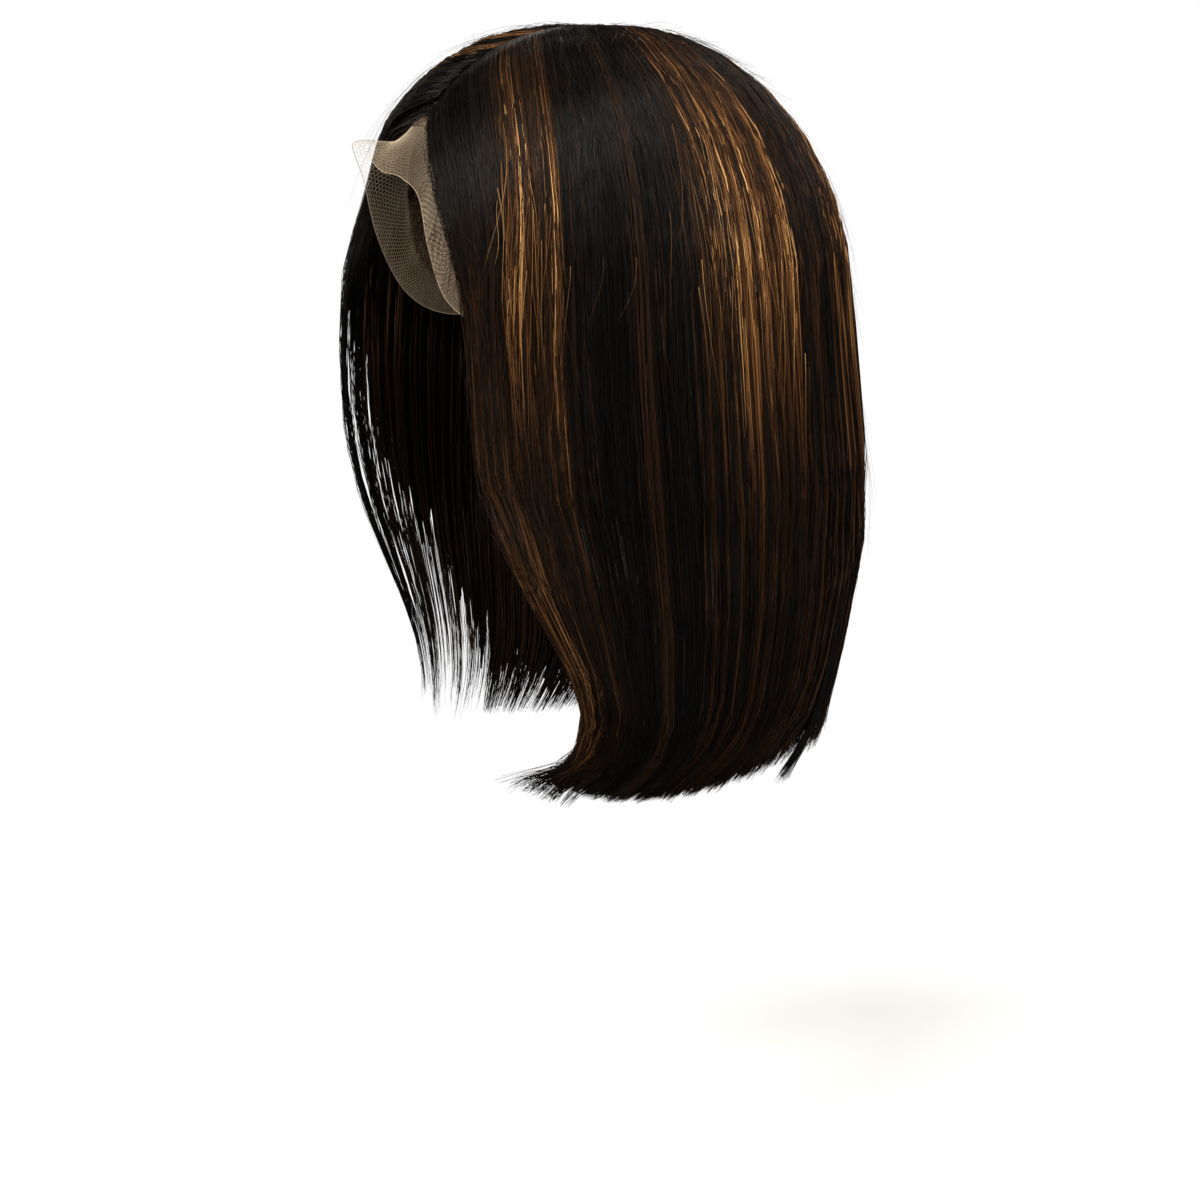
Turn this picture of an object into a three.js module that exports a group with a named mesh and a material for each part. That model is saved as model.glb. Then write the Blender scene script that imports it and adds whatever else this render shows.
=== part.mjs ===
// A lace front wig in a straight bob, in millimetres, +Z up.
// The face opening is towards -Y and the wearer's left is +X.
// The origin is the inside top of the cap, where the crown of the head sits.

import * as THREE from "three";
import { mergeVertices } from "three/addons/utils/BufferGeometryUtils.js";

// The head size that the cap fits, about 560 round
const HEAD_HALF_WIDTH = 77;
const HEAD_HALF_LENGTH = 97;
const HEAD_CROWN_HEIGHT = 112;
const HEAD_NAPE_DEPTH = 150;
const HEAD_PLAN_FULLNESS = 2.2;
const HEAD_FRONT_FULLNESS = 2.4;
const HEAD_BACK_FULLNESS = 2;

// The base: a lace front and a closed cap, sewn together over the crown
const LACE_WALL = 1;
const CAP_WALL = 1.2;
const SEAM_ANGLE = -5;
const SEAM_GAP_ANGLE = 0.2;
const EAR_ANGLE = 76;
const LACE_COLUMNS = 38;
const LACE_ROWS = 12;
const LACE_FLAP_ROWS = 5;
const CAP_COLUMNS = 26;
const CAP_ROWS = 10;

// The lace from the right ear to the left, by the angle towards each ear.
// Hairline and edge are angles forward from straight up, flare is how far the free edge stands out.
const LACE_EDGE = [
  { place: "right ear tab", towardsEar: -76, hairline: 96, edge: 112, flare: 0.4 },
  { place: "right temple", towardsEar: -52, hairline: 74, edge: 88, flare: 3 },
  { place: "right corner", towardsEar: -40, hairline: 58, edge: 70, flare: 8 },
  { place: "behind the flap tip", towardsEar: -31, hairline: 49, edge: 58, flare: 14 },
  { place: "flap tip", towardsEar: -25, hairline: 46, edge: 53.5, flare: 21 },
  { place: "flap fold", towardsEar: -18, hairline: 45, edge: 56, flare: 10 },
  { place: "flap", towardsEar: -9, hairline: 45, edge: 59, flare: 5.5 },
  { place: "centre", towardsEar: 0, hairline: 45.5, edge: 60, flare: 3 },
  { place: "left of centre", towardsEar: 8, hairline: 48, edge: 64, flare: 0.8 },
  { place: "left corner", towardsEar: 14, hairline: 52, edge: 75, flare: 0.4 },
  { place: "left strip", towardsEar: 20, hairline: 58, edge: 86, flare: 0.3 },
  { place: "left temple", towardsEar: 40, hairline: 70, edge: 95, flare: 0.2 },
  { place: "left ear tab", towardsEar: 76, hairline: 96, edge: 112, flare: 0.2 },
];

// The lower edge of the cap, by the angle towards each ear, as an angle back from straight up
const CAP_EDGE = [
  { place: "right ear", towardsEar: -76, edge: -130 },
  { place: "behind right ear", towardsEar: -48, edge: -125 },
  { place: "right nape", towardsEar: -24, edge: -122 },
  { place: "nape", towardsEar: 0, edge: -124 },
  { place: "left nape", towardsEar: 24, edge: -122 },
  { place: "behind left ear", towardsEar: 48, edge: -125 },
  { place: "left ear", towardsEar: 76, edge: -130 },
];

// The hair, from the part over the crown to the hem
const PART_LIFT = 4.2;
const CROWN_LIFT = 7.5;
const PART_ROUNDING = 0.12;
const CROWN_HUMP_EARLY = 0.8;
const BASE_CLEARANCE = 2.3;
const HAIR_GAP = 0.4;
const CROWN_ROWS = 7;
const HANG_ROWS = 8;
const COLUMNS_PER_LOCK = 4;
const LOCK_RELIEF = { root: 0.5, tip: 2.4, roundness: 0.7 };
const TIP_DROP = 8;
const TIP_START = 0.7;
const TIP_SHARPNESS = 3;
const TIP_ROWS_CLOSER = 1.4;
const TIP_THINNING = 0.6;

// How the hair falls at places round the wig, by the turn from the left ear towards the back.
// Each lock leaves the part at (rootX, rootY), stands off the head by lift at eye level, swells by
// loft over the crown and by belly below the eyes, turns by drift and ends at (hemReach, hemZ).
const FALL = [
  { place: "left front edge", turn: -62, rootX: 1.5, rootY: -77, lift: 5, loft: -1.5, swing: 3,
    belly: 10, drift: 33, late: 1.3, hemReach: 101, hemZ: -298, depth: 4.5, tipIn: 0, tipTurn: -18 },
  { place: "left brow", turn: -52, rootX: 1.6, rootY: -47, lift: 9, loft: -3.5, swing: 8,
    belly: 9, drift: 26, late: 1.3, hemReach: 101, hemZ: -300, depth: 7, tipIn: 0, tipTurn: -15 },
  { place: "left cheek", turn: -38, rootX: 1.8, rootY: -25, lift: 13, loft: -4, swing: 5,
    belly: 8, drift: 16, late: 1.3, hemReach: 100, hemZ: -303, depth: 10, tipIn: 2, tipTurn: -10 },
  { place: "left ear", turn: -5, rootX: 2.5, rootY: 2, lift: 16, loft: -4, swing: -2,
    belly: 7, drift: 2, late: 1.2, hemReach: 96, hemZ: -304, depth: 13, tipIn: 5, tipTurn: -9 },
  { place: "behind left ear", turn: 30, rootX: 3.5, rootY: 20, lift: 16, loft: -2, swing: -4,
    belly: 8, drift: -4, late: 1.1, hemReach: 97, hemZ: -300, depth: 14, tipIn: 9, tipTurn: -6 },
  { place: "left back", turn: 60, rootX: 2.3, rootY: 27, lift: 14, loft: 0, swing: 0,
    belly: 10, drift: 0, late: 1, hemReach: 100, hemZ: -295, depth: 14, tipIn: 4, tipTurn: 0 },
  { place: "back", turn: 90, rootX: 0, rootY: 28, lift: 15.5, loft: -1, swing: 0,
    belly: 8, drift: 0, late: 1, hemReach: 101, hemZ: -292, depth: 14, tipIn: 7, tipTurn: 0 },
  { place: "right back", turn: 120, rootX: -2.3, rootY: 27, lift: 15.5, loft: -1, swing: 0,
    belly: 8, drift: 0, late: 1, hemReach: 100, hemZ: -294, depth: 14, tipIn: 8, tipTurn: 0 },
  { place: "behind right ear", turn: 150, rootX: -3.5, rootY: 20, lift: 16, loft: -3, swing: 2,
    belly: 8, drift: 4, late: 1, hemReach: 97, hemZ: -298, depth: 13, tipIn: 8, tipTurn: 4 },
  { place: "right ear", turn: 185, rootX: -2.5, rootY: 2, lift: 16, loft: -4, swing: 0,
    belly: 7, drift: -2, late: 1, hemReach: 96, hemZ: -298, depth: 11, tipIn: 5, tipTurn: 4 },
  { place: "right cheek", turn: 220, rootX: -1.8, rootY: -25, lift: 16, loft: 0, swing: -12,
    belly: 5, drift: -18, late: 1, hemReach: 94, hemZ: -294, depth: 7, tipIn: 2, tipTurn: 3 },
  { place: "right front edge", turn: 242, rootX: -1.5, rootY: -71, lift: 18, loft: 5, swing: -25,
    belly: 6, drift: -34, late: 1, hemReach: 93, hemZ: -286, depth: 4, tipIn: 1, tipTurn: 2 },
];

// The sections of hair, by the turn that each one spans at eye level
const SECTIONS = [
  { name: "hair_left_front", from: -62, to: -53, locks: 1, tone: "dark" },
  { name: "highlight_left_front", from: -53, to: -39, locks: 2, tone: "caramel" },
  { name: "hair_left_side", from: -39, to: -1, locks: 3, tone: "dark" },
  { name: "highlight_left_side", from: -1, to: 28, locks: 3, tone: "caramel" },
  { name: "hair_left_back", from: 28, to: 44, locks: 1, tone: "dark" },
  { name: "highlight_left_back", from: 44, to: 60, locks: 1, tone: "caramel" },
  { name: "hair_back", from: 60, to: 120, locks: 5, tone: "dark" },
  { name: "highlight_right_back", from: 120, to: 136, locks: 1, tone: "caramel" },
  { name: "hair_right_back", from: 136, to: 152, locks: 1, tone: "dark" },
  { name: "highlight_right_side", from: 152, to: 181, locks: 3, tone: "caramel" },
  { name: "hair_right_side", from: 181, to: 219, locks: 3, tone: "dark" },
  { name: "highlight_right_front", from: 219, to: 233, locks: 2, tone: "caramel" },
  { name: "hair_right_front", from: 233, to: 242, locks: 1, tone: "dark" },
];

const COLOURS = { dark: 0x16110e, caramel: 0x80501f, lace: 0xb59c7d, cap: 0x201a17 };

const { lerp, degToRad, smoothstep, clamp } = THREE.MathUtils;
const HEAD_CENTRE = new THREE.Vector3(0, 0, -HEAD_CROWN_HEIGHT);

// A table becomes a smooth function of its first named column
function smoothTable(rows, key) {
  const names = Object.keys(rows[0]).filter((name) => name !== key && name !== "place");
  const keys = Float64Array.from(rows, (row) => row[key]);
  const values = Float64Array.from(rows.flatMap((row) => names.map((name) => row[name])));
  const curve = new THREE.CubicInterpolant(keys, values, names.length);
  return (at) => {
    const result = curve.evaluate(at);
    return Object.fromEntries(names.map((name, index) => [name, result[index]]));
  };
}

const laceAt = smoothTable(LACE_EDGE, "towardsEar");
const capAt = smoothTable(CAP_EDGE, "towardsEar");
const fallAt = smoothTable(FALL, "turn");

// How far out the head reaches along a unit direction from its centre
function headReach(direction) {
  const level = Math.hypot(direction.x, direction.y);
  const facing = level > 0 ? direction.y / level : 0;
  const fullness = lerp(HEAD_FRONT_FULLNESS, HEAD_BACK_FULLNESS, (1 + facing) / 2);
  const across = Math.abs(direction.x / HEAD_HALF_WIDTH) ** HEAD_PLAN_FULLNESS;
  const along = Math.abs(direction.y / HEAD_HALF_LENGTH) ** HEAD_PLAN_FULLNESS;
  const plan = (across + along) ** (1 / HEAD_PLAN_FULLNESS);
  const height = direction.z > 0 ? HEAD_CROWN_HEIGHT : HEAD_NAPE_DEPTH;
  const rise = Math.abs(direction.z) / height;
  return (plan ** fullness + rise ** fullness) ** (-1 / fullness);
}

// The unit direction from the head's centre to the crown above a point in plan
function crownDirection(x, y) {
  const level = Math.hypot(x, y);
  const fullness = lerp(HEAD_FRONT_FULLNESS, HEAD_BACK_FULLNESS, (1 + y / level) / 2);
  const across = Math.abs(x / HEAD_HALF_WIDTH) ** HEAD_PLAN_FULLNESS;
  const along = Math.abs(y / HEAD_HALF_LENGTH) ** HEAD_PLAN_FULLNESS;
  const plan = (across + along) ** (1 / HEAD_PLAN_FULLNESS);
  const z = HEAD_CROWN_HEIGHT * (1 - plan ** fullness) ** (1 / fullness);
  return new THREE.Vector3(x, y, z).normalize();
}

function offHead(direction, lift) {
  return HEAD_CENTRE.clone().addScaledVector(direction, headReach(direction) + lift);
}

function levelDirection(turn) {
  return new THREE.Vector3(Math.cos(degToRad(turn)), Math.sin(degToRad(turn)), 0);
}

// The unit direction that leans towards an ear and forward from straight up
function capDirection(towardsEar, forward) {
  const ear = degToRad(towardsEar);
  const lean = degToRad(forward);
  const level = Math.cos(ear);
  return new THREE.Vector3(Math.sin(ear), -level * Math.sin(lean), level * Math.cos(lean));
}

// A wall is a box bent into shape: place takes how far across, up and outward each corner lies
function bentWall(columns, rows, place) {
  const box = new THREE.BoxGeometry(1, 1, 1, columns, rows, 1);
  box.deleteAttribute("normal");
  box.deleteAttribute("uv");
  const wall = mergeVertices(box);
  const corners = wall.getAttribute("position");
  for (let index = 0; index < corners.count; index += 1) {
    const across = corners.getX(index) + 0.5;
    const up = corners.getY(index) + 0.5;
    const outward = corners.getZ(index) + 0.5;
    const point = place(across, up, outward);
    corners.setXYZ(index, point.x, point.y, point.z);
  }
  return wall;
}

// The lace runs from its free edge, over the flap, up to the crown seam
function lacePoint(across, up, outward) {
  const towardsEar = lerp(-EAR_ANGLE, EAR_ANGLE, across);
  const { hairline, edge, flare } = laceAt(towardsEar);
  const flapShare = LACE_FLAP_ROWS / LACE_ROWS;
  const past = clamp(1 - up / flapShare, 0, 1);
  const back = clamp((up - flapShare) / (1 - flapShare), 0, 1);
  const forward = lerp(lerp(hairline, edge, past), SEAM_ANGLE + SEAM_GAP_ANGLE, back);
  const standOff = Math.max(flare, 0) * smoothstep(past, 0, 1);
  return offHead(capDirection(towardsEar, forward), standOff + LACE_WALL * outward);
}

function capPoint(across, up, outward) {
  const towardsEar = lerp(-EAR_ANGLE, EAR_ANGLE, across);
  const { edge } = capAt(towardsEar);
  const forward = lerp(SEAM_ANGLE - SEAM_GAP_ANGLE, edge, up);
  return offHead(capDirection(towardsEar, forward), CAP_WALL * outward);
}

// Hair over the crown, from the part (along 0) to eye level (along 1)
function crownHair(turn, along, sink, inside) {
  const fall = fallAt(turn);
  const root = crownDirection(fall.rootX, fall.rootY);
  const side = levelDirection(turn);
  const angle = root.angleTo(side);
  const direction = root.multiplyScalar(Math.sin((1 - along) * angle));
  direction.addScaledVector(side, Math.sin(along * angle)).normalize();
  const hump = Math.sin(along ** CROWN_HUMP_EARLY * Math.PI);
  direction.applyAxisAngle(new THREE.Vector3(0, 0, 1), degToRad(fall.swing * hump));
  const top = lerp(PART_LIFT, CROWN_LIFT, smoothstep(along, 0, PART_ROUNDING));
  const lift = lerp(top, fall.lift, smoothstep(along, 0, 1)) + fall.loft * hump;
  const under = Math.max(BASE_CLEARANCE, lift - fall.depth);
  return offHead(direction, inside ? Math.min(under, lift - 1) : lift - sink);
}

// Hair below eye level (along 0), down to the hem (along 1)
function hangingHair(turn, along, sink, drop, inside) {
  const fall = fallAt(turn);
  const tip = clamp((along - TIP_START) / (1 - TIP_START), 0, 1) ** TIP_SHARPNESS;
  const start = headReach(levelDirection(turn)) + fall.lift;
  const swell = fall.belly * Math.sin(along * Math.PI) ** 2;
  const reach = lerp(start, fall.hemReach, smoothstep(along, 0, 1)) + swell - fall.tipIn * tip;
  const depth = Math.min(fall.lift - BASE_CLEARANCE, fall.depth) * (1 - TIP_THINNING * tip);
  const drift = fall.drift * smoothstep(along ** fall.late, 0, 1);
  const point = levelDirection(turn + drift + fall.tipTurn * tip);
  point.multiplyScalar(inside ? reach - depth : reach - Math.min(sink, depth - 1));
  point.z = lerp(-HEAD_CROWN_HEIGHT, fall.hemZ, along) - drop * along ** 4;
  return point;
}

// A point of the hair, with the grooves between locks and their pointed tips
function hairPoint(turn, down, lockShare, inside) {
  const crest = Math.sin(lockShare * Math.PI) ** LOCK_RELIEF.roundness;
  const sink = lerp(LOCK_RELIEF.root, LOCK_RELIEF.tip, down) * (1 - crest);
  const crownShare = CROWN_ROWS / (CROWN_ROWS + HANG_ROWS);
  if (down <= crownShare) {
    return crownHair(turn, down / crownShare, sink, inside);
  }
  const hanging = (down - crownShare) / (1 - crownShare);
  const along = 1 - (1 - hanging) ** TIP_ROWS_CLOSER;
  return hangingHair(turn, along, sink, TIP_DROP * crest, inside);
}

// A section keeps its gap to the next one all the way from the crown, where it is narrow, to the hem
function sectionWall({ from, to, locks }) {
  return bentWall(locks * COLUMNS_PER_LOCK, CROWN_ROWS + HANG_ROWS, (across, up, outward) => {
    const down = 1 - up;
    const width = hairPoint(from, down, 0.5, false).distanceTo(hairPoint(to, down, 0.5, false));
    const inset = HAIR_GAP / 2 / width;
    const turn = lerp(from, to, lerp(inset, 1 - inset, across));
    const lockShare = across === 1 ? 1 : (across * locks) % 1;
    return hairPoint(turn, down, lockShare, outward < 0.5);
  });
}

const wig = new THREE.Group();
wig.name = "lace_front_wig";

function addPiece(name, geometry, colour) {
  const material = new THREE.MeshStandardMaterial({ color: COLOURS[colour] });
  const piece = new THREE.Mesh(geometry, material);
  piece.name = name;
  wig.add(piece);
}

addPiece("lace_front", bentWall(LACE_COLUMNS, LACE_ROWS, lacePoint), "lace");
addPiece("cap", bentWall(CAP_COLUMNS, CAP_ROWS, capPoint), "cap");
for (const section of SECTIONS) {
  addPiece(section.name, sectionWall(section), section.tone);
}

export default wig;
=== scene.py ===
# %% [markdown]
# # A lace front wig, dressed over its solids
# The frame holds plain walls: thirteen sections of hair, a lace front and a closed cap. They have
# the right outline, but hair is thousands of fine strands and lace is a net of threads. This lesson
# keeps every wall's place and builds strands, net and cap cloth on the same named sizes.

# %% Load the frame
import math

import bmesh
import bpy
import numpy as np
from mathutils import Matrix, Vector


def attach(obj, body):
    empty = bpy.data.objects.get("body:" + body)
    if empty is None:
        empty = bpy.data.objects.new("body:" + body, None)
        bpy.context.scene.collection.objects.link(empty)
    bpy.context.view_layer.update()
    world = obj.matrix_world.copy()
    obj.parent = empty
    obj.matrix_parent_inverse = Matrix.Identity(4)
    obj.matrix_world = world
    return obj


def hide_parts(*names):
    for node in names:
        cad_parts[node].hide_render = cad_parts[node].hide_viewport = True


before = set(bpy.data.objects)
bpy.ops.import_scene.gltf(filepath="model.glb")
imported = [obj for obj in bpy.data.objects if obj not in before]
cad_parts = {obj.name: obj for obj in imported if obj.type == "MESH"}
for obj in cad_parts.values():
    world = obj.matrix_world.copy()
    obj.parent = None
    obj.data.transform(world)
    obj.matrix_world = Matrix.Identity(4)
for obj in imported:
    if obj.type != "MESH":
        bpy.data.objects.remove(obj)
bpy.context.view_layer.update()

scene = bpy.context.scene

# %% [markdown]
# ## The camera
# The wig is seen from its left front, a little above the hem. A long lens from 1.6 m keeps the sides
# nearly parallel, as in a catalogue picture, so the near and far front locks keep their true widths.
# The direction is worked out from two angles, which is easier to adjust than three rotations.

# %% Camera
VIEW_TURN = math.radians(60)
VIEW_RISE = math.radians(8)
VIEW_DISTANCE = 1.6
VIEW_AIM = Vector((0, 0, -0.238))
LENS_LENGTH = 112.8
SENSOR_WIDTH = 36

towards_camera = Vector((
    math.sin(VIEW_TURN) * math.cos(VIEW_RISE),
    -math.cos(VIEW_TURN) * math.cos(VIEW_RISE),
    math.sin(VIEW_RISE),
))
lens = bpy.data.cameras.new("front_left_view")
lens.lens = LENS_LENGTH
lens.sensor_width = SENSOR_WIDTH
camera = bpy.data.objects.new("front_left_view", lens)
camera.location = VIEW_AIM + towards_camera * VIEW_DISTANCE
camera.rotation_euler = towards_camera.to_track_quat("Z", "Y").to_euler()
scene.collection.objects.link(camera)
scene.camera = camera
print("camera at", [round(value, 3) for value in camera.location])

# %% [markdown]
# ## Studio light
# Dark hair shows its form by the soft sheen of large lamps, so the lamps are wide area lights. The
# world is white where the camera sees it and much dimmer as a light. One Light Path node in the
# world makes that choice, and the wall of white behind the wig then doesn't wash out the black.

# %% Lamps and world
scene.view_settings.view_transform = "Standard"
LAMPS = [
    # name, place, size, watts
    ("key_lamp", (0.75, -1.15, 1.45), 1.0, 68),
    ("side_lamp", (1.9, 0.8, 1.05), 1.0, 42),
    ("back_lamp", (-0.8, 1.7, 0.9), 1.2, 32),
    ("far_lamp", (-1.6, -0.9, 0.5), 1.2, 12),
]
LAMP_COLOUR = (1.0, 0.965, 0.91)
WORLD_LIGHT = 0.08


def add_lamp(name, place, size, watts):
    data = bpy.data.lights.new(name, "AREA")
    data.size = size
    data.energy = watts
    data.color = LAMP_COLOUR
    lamp = bpy.data.objects.new(name, data)
    lamp.location = place
    lamp.visible_camera = False
    lamp.rotation_euler = (Vector(place) - VIEW_AIM).to_track_quat("Z", "Y").to_euler()
    scene.collection.objects.link(lamp)


for row in LAMPS:
    add_lamp(*row)


def white_world(light_strength):
    world = bpy.data.worlds.new("white_studio")
    world.use_nodes = True
    nodes, links = world.node_tree.nodes, world.node_tree.links
    nodes.clear()
    seen = nodes.new("ShaderNodeBackground")
    seen.inputs["Color"].default_value = (1, 1, 1, 1)
    seen.inputs["Strength"].default_value = 1
    lighting = nodes.new("ShaderNodeBackground")
    lighting.inputs["Color"].default_value = (1, 1, 1, 1)
    lighting.inputs["Strength"].default_value = light_strength
    ray = nodes.new("ShaderNodeLightPath")
    choose = nodes.new("ShaderNodeMixShader")
    output = nodes.new("ShaderNodeOutputWorld")
    links.new(ray.outputs["Is Camera Ray"], choose.inputs[0])
    links.new(lighting.outputs[0], choose.inputs[1])
    links.new(seen.outputs[0], choose.inputs[2])
    links.new(choose.outputs[0], output.inputs["Surface"])
    return world


scene.world = white_world(WORLD_LIGHT)
print("lamps:", len(LAMPS))

# %% [markdown]
# ## The floor
# The wig is held up as it is worn, so the pale floor lies well below the hem. It is one round disc.
# Near the wig it takes a soft shadow, and further out it fades to the white of the world, so no
# horizon shows. For the hair it is a dim grey, because a bright floor would wash out the black hem
# from below.

# %% Floor
FLOOR_HEIGHT = -0.485
FLOOR_RADIUS = 8
FLOOR_SIDES = 96
FLOOR_ROUGHNESS = 0.9
SHADOW_RADIUS = 0.05
FADE_RADIUS = 0.9
FLOOR_SEEN = 0.9
FLOOR_AS_LIGHT = 0.2


def floor_material():
    material = bpy.data.materials.new("pale_floor")
    material.use_nodes = True
    nodes, links = material.node_tree.nodes, material.node_tree.links
    shader = nodes["Principled BSDF"]
    shader.inputs["Roughness"].default_value = FLOOR_ROUGHNESS
    grey = nodes.new("ShaderNodeMapRange")
    grey.inputs["To Min"].default_value = FLOOR_AS_LIGHT
    grey.inputs["To Max"].default_value = FLOOR_SEEN
    place = nodes.new("ShaderNodeTexCoord")
    level = nodes.new("ShaderNodeVectorMath")
    level.operation = "MULTIPLY"
    level.inputs[1].default_value = (1, 1, 0)
    distance = nodes.new("ShaderNodeVectorMath")
    distance.operation = "LENGTH"
    fade = nodes.new("ShaderNodeMapRange")
    fade.interpolation_type = "SMOOTHSTEP"
    fade.inputs["From Min"].default_value = SHADOW_RADIUS
    fade.inputs["From Max"].default_value = FADE_RADIUS
    ray = nodes.new("ShaderNodeLightPath")
    seen = nodes.new("ShaderNodeMath")
    seen.operation = "MULTIPLY"
    seen.use_clamp = True
    glow = nodes.new("ShaderNodeEmission")
    mix = nodes.new("ShaderNodeMixShader")
    links.new(ray.outputs["Is Camera Ray"], grey.inputs["Value"])
    links.new(grey.outputs["Result"], shader.inputs["Base Color"])
    links.new(place.outputs["Object"], level.inputs[0])
    links.new(level.outputs[0], distance.inputs[0])
    links.new(distance.outputs["Value"], fade.inputs["Value"])
    links.new(fade.outputs["Result"], seen.inputs[0])
    links.new(ray.outputs["Is Camera Ray"], seen.inputs[1])
    links.new(seen.outputs[0], mix.inputs[0])
    links.new(shader.outputs[0], mix.inputs[1])
    links.new(glow.outputs[0], mix.inputs[2])
    links.new(mix.outputs[0], nodes["Material Output"].inputs["Surface"])
    return material


def add_floor():
    disc = bmesh.new()
    bmesh.ops.create_circle(disc, cap_ends=True, segments=FLOOR_SIDES, radius=FLOOR_RADIUS)
    bmesh.ops.translate(disc, verts=disc.verts, vec=(0, 0, FLOOR_HEIGHT))
    mesh = bpy.data.meshes.new("studio_floor")
    disc.to_mesh(mesh)
    disc.free()
    mesh.materials.append(floor_material())
    floor = bpy.data.objects.new("studio_floor", mesh)
    scene.collection.objects.link(floor)
    return floor


print("floor:", add_floor().name, "at", FLOOR_HEIGHT)

# %% [markdown]
# ## The head's form
# Cap, lace and hair all follow one head shape, a rounded form that is fuller in front than behind.
# `head_reach` says how far out it goes in any direction from its centre. Working on whole numpy
# arrays lets one call place a hundred thousand strand points. All sizes here are millimetres.

# %% Head
MM = 0.001
HEAD_HALF_WIDTH = 77
HEAD_HALF_LENGTH = 97
HEAD_CROWN_HEIGHT = 112
HEAD_NAPE_DEPTH = 150
PLAN_FULLNESS = 2.2
FRONT_FULLNESS = 2.4
BACK_FULLNESS = 2.0
NEVER_ZERO = 1e-9


def blend(start, end, share):
    return start + (end - start) * share


def ease(value, low=0.0, high=1.0):
    share = np.clip((value - low) / (high - low), 0, 1)
    return share * share * (3 - 2 * share)


def plan_and_fullness(x, y):
    level = np.maximum(np.hypot(x, y), NEVER_ZERO)
    fullness = blend(FRONT_FULLNESS, BACK_FULLNESS, (1 + y / level) / 2)
    across = np.abs(x / HEAD_HALF_WIDTH) ** PLAN_FULLNESS
    along = np.abs(y / HEAD_HALF_LENGTH) ** PLAN_FULLNESS
    return (across + along) ** (1 / PLAN_FULLNESS), fullness


def head_reach(direction):
    plan, fullness = plan_and_fullness(direction[..., 0], direction[..., 1])
    height = np.where(direction[..., 2] > 0, HEAD_CROWN_HEIGHT, HEAD_NAPE_DEPTH)
    rise = np.abs(direction[..., 2]) / height
    return (plan**fullness + rise**fullness) ** (-1 / fullness)


def unit(vectors):
    return vectors / np.maximum(np.linalg.norm(vectors, axis=-1, keepdims=True), NEVER_ZERO)


def crown_direction(x, y):
    plan, fullness = plan_and_fullness(x, y)
    z = HEAD_CROWN_HEIGHT * (1 - plan**fullness) ** (1 / fullness)
    return unit(np.stack([x, y, z], axis=-1))


def off_head(direction, lift):
    point = direction * (head_reach(direction) + lift)[..., None]
    point[..., 2] -= HEAD_CROWN_HEIGHT
    return point


print("head:", 2 * HEAD_HALF_WIDTH, "by", 2 * HEAD_HALF_LENGTH, "mm")

# %% [markdown]
# ## Tables that read as smooth curves
# The fall of the hair and the edge of the lace are short tables, one row for each place round the
# head. A cubic curve through the rows gives the values between them, so a few dozen numbers steer
# every strand. The same rows made the solids, which is why the strands land on them.

# %% Smooth tables
def smooth_table(columns, rows):
    names = columns.split()
    keys = np.array([row[0] for row in rows], float)
    values = np.array([row[1:] for row in rows], float)
    slopes = np.diff(values, axis=0) / np.diff(keys)[:, None]
    tangents = np.vstack([slopes[:1], (slopes[:-1] + slopes[1:]) / 2, slopes[-1:]])

    def read(at):
        at = np.asarray(at, float)
        low = np.clip(np.searchsorted(keys, at, side="right") - 1, 0, len(keys) - 2)
        span = (keys[low + 1] - keys[low])[..., None]
        t = (at - keys[low])[..., None] / span
        result = (
            (2 * t**3 - 3 * t**2 + 1) * values[low]
            + (t**3 - 2 * t**2 + t) * tangents[low] * span
            + (3 * t**2 - 2 * t**3) * values[low + 1]
            + (t**3 - t**2) * tangents[low + 1] * span
        )
        return {name: result[..., index] for index, name in enumerate(names[1:])}

    return read


print("reads as:", smooth_table("place height", [(0, 0), (1, 1), (2, 0)])(1.5))

# %% [markdown]
# ## The fall, row by row
# Each row stands at one turn round the head, in degrees from the left ear towards the back. Its
# columns say where the hair is rooted along the part, how far it stands off the head at eye level
# and over the crown, how it swings, bellies and drifts on its way down, how far out and how low the
# hem is, how deep the hair lies and how its tips turn. Lengths are millimetres and angles degrees.

# %% How the hair falls
fall_at = smooth_table(
    "turn root_x root_y lift loft swing belly drift late hem_reach hem_z depth tip_in tip_turn",
    [
        (-62, 1.5, -77, 5, -1.5, 3, 10, 33, 1.3, 101, -298, 4.5, 0, -18),
        (-52, 1.6, -47, 9, -3.5, 8, 9, 26, 1.3, 101, -300, 7, 0, -15),
        (-38, 1.8, -25, 13, -4, 5, 8, 16, 1.3, 100, -303, 10, 2, -10),
        (-5, 2.5, 2, 16, -4, -2, 7, 2, 1.2, 96, -304, 13, 5, -9),
        (30, 3.5, 20, 16, -2, -4, 8, -4, 1.1, 97, -300, 14, 9, -6),
        (60, 2.3, 27, 14, 0, 0, 10, 0, 1, 100, -295, 14, 4, 0),
        (90, 0, 28, 15.5, -1, 0, 8, 0, 1, 101, -292, 14, 7, 0),
        (120, -2.3, 27, 15.5, -1, 0, 8, 0, 1, 100, -294, 14, 8, 0),
        (150, -3.5, 20, 16, -3, 2, 8, 4, 1, 97, -298, 13, 8, 4),
        (185, -2.5, 2, 16, -4, 0, 7, -2, 1, 96, -298, 11, 5, 4),
        (220, -1.8, -25, 16, 0, -12, 5, -18, 1, 94, -294, 7, 2, 3),
        (242, -1.5, -71, 18, 5, -25, 6, -34, 1, 93, -286, 4, 1, 2),
    ],
)
print("fall at the left ear:", {name: round(float(v), 1) for name, v in fall_at(0).items()})

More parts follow.
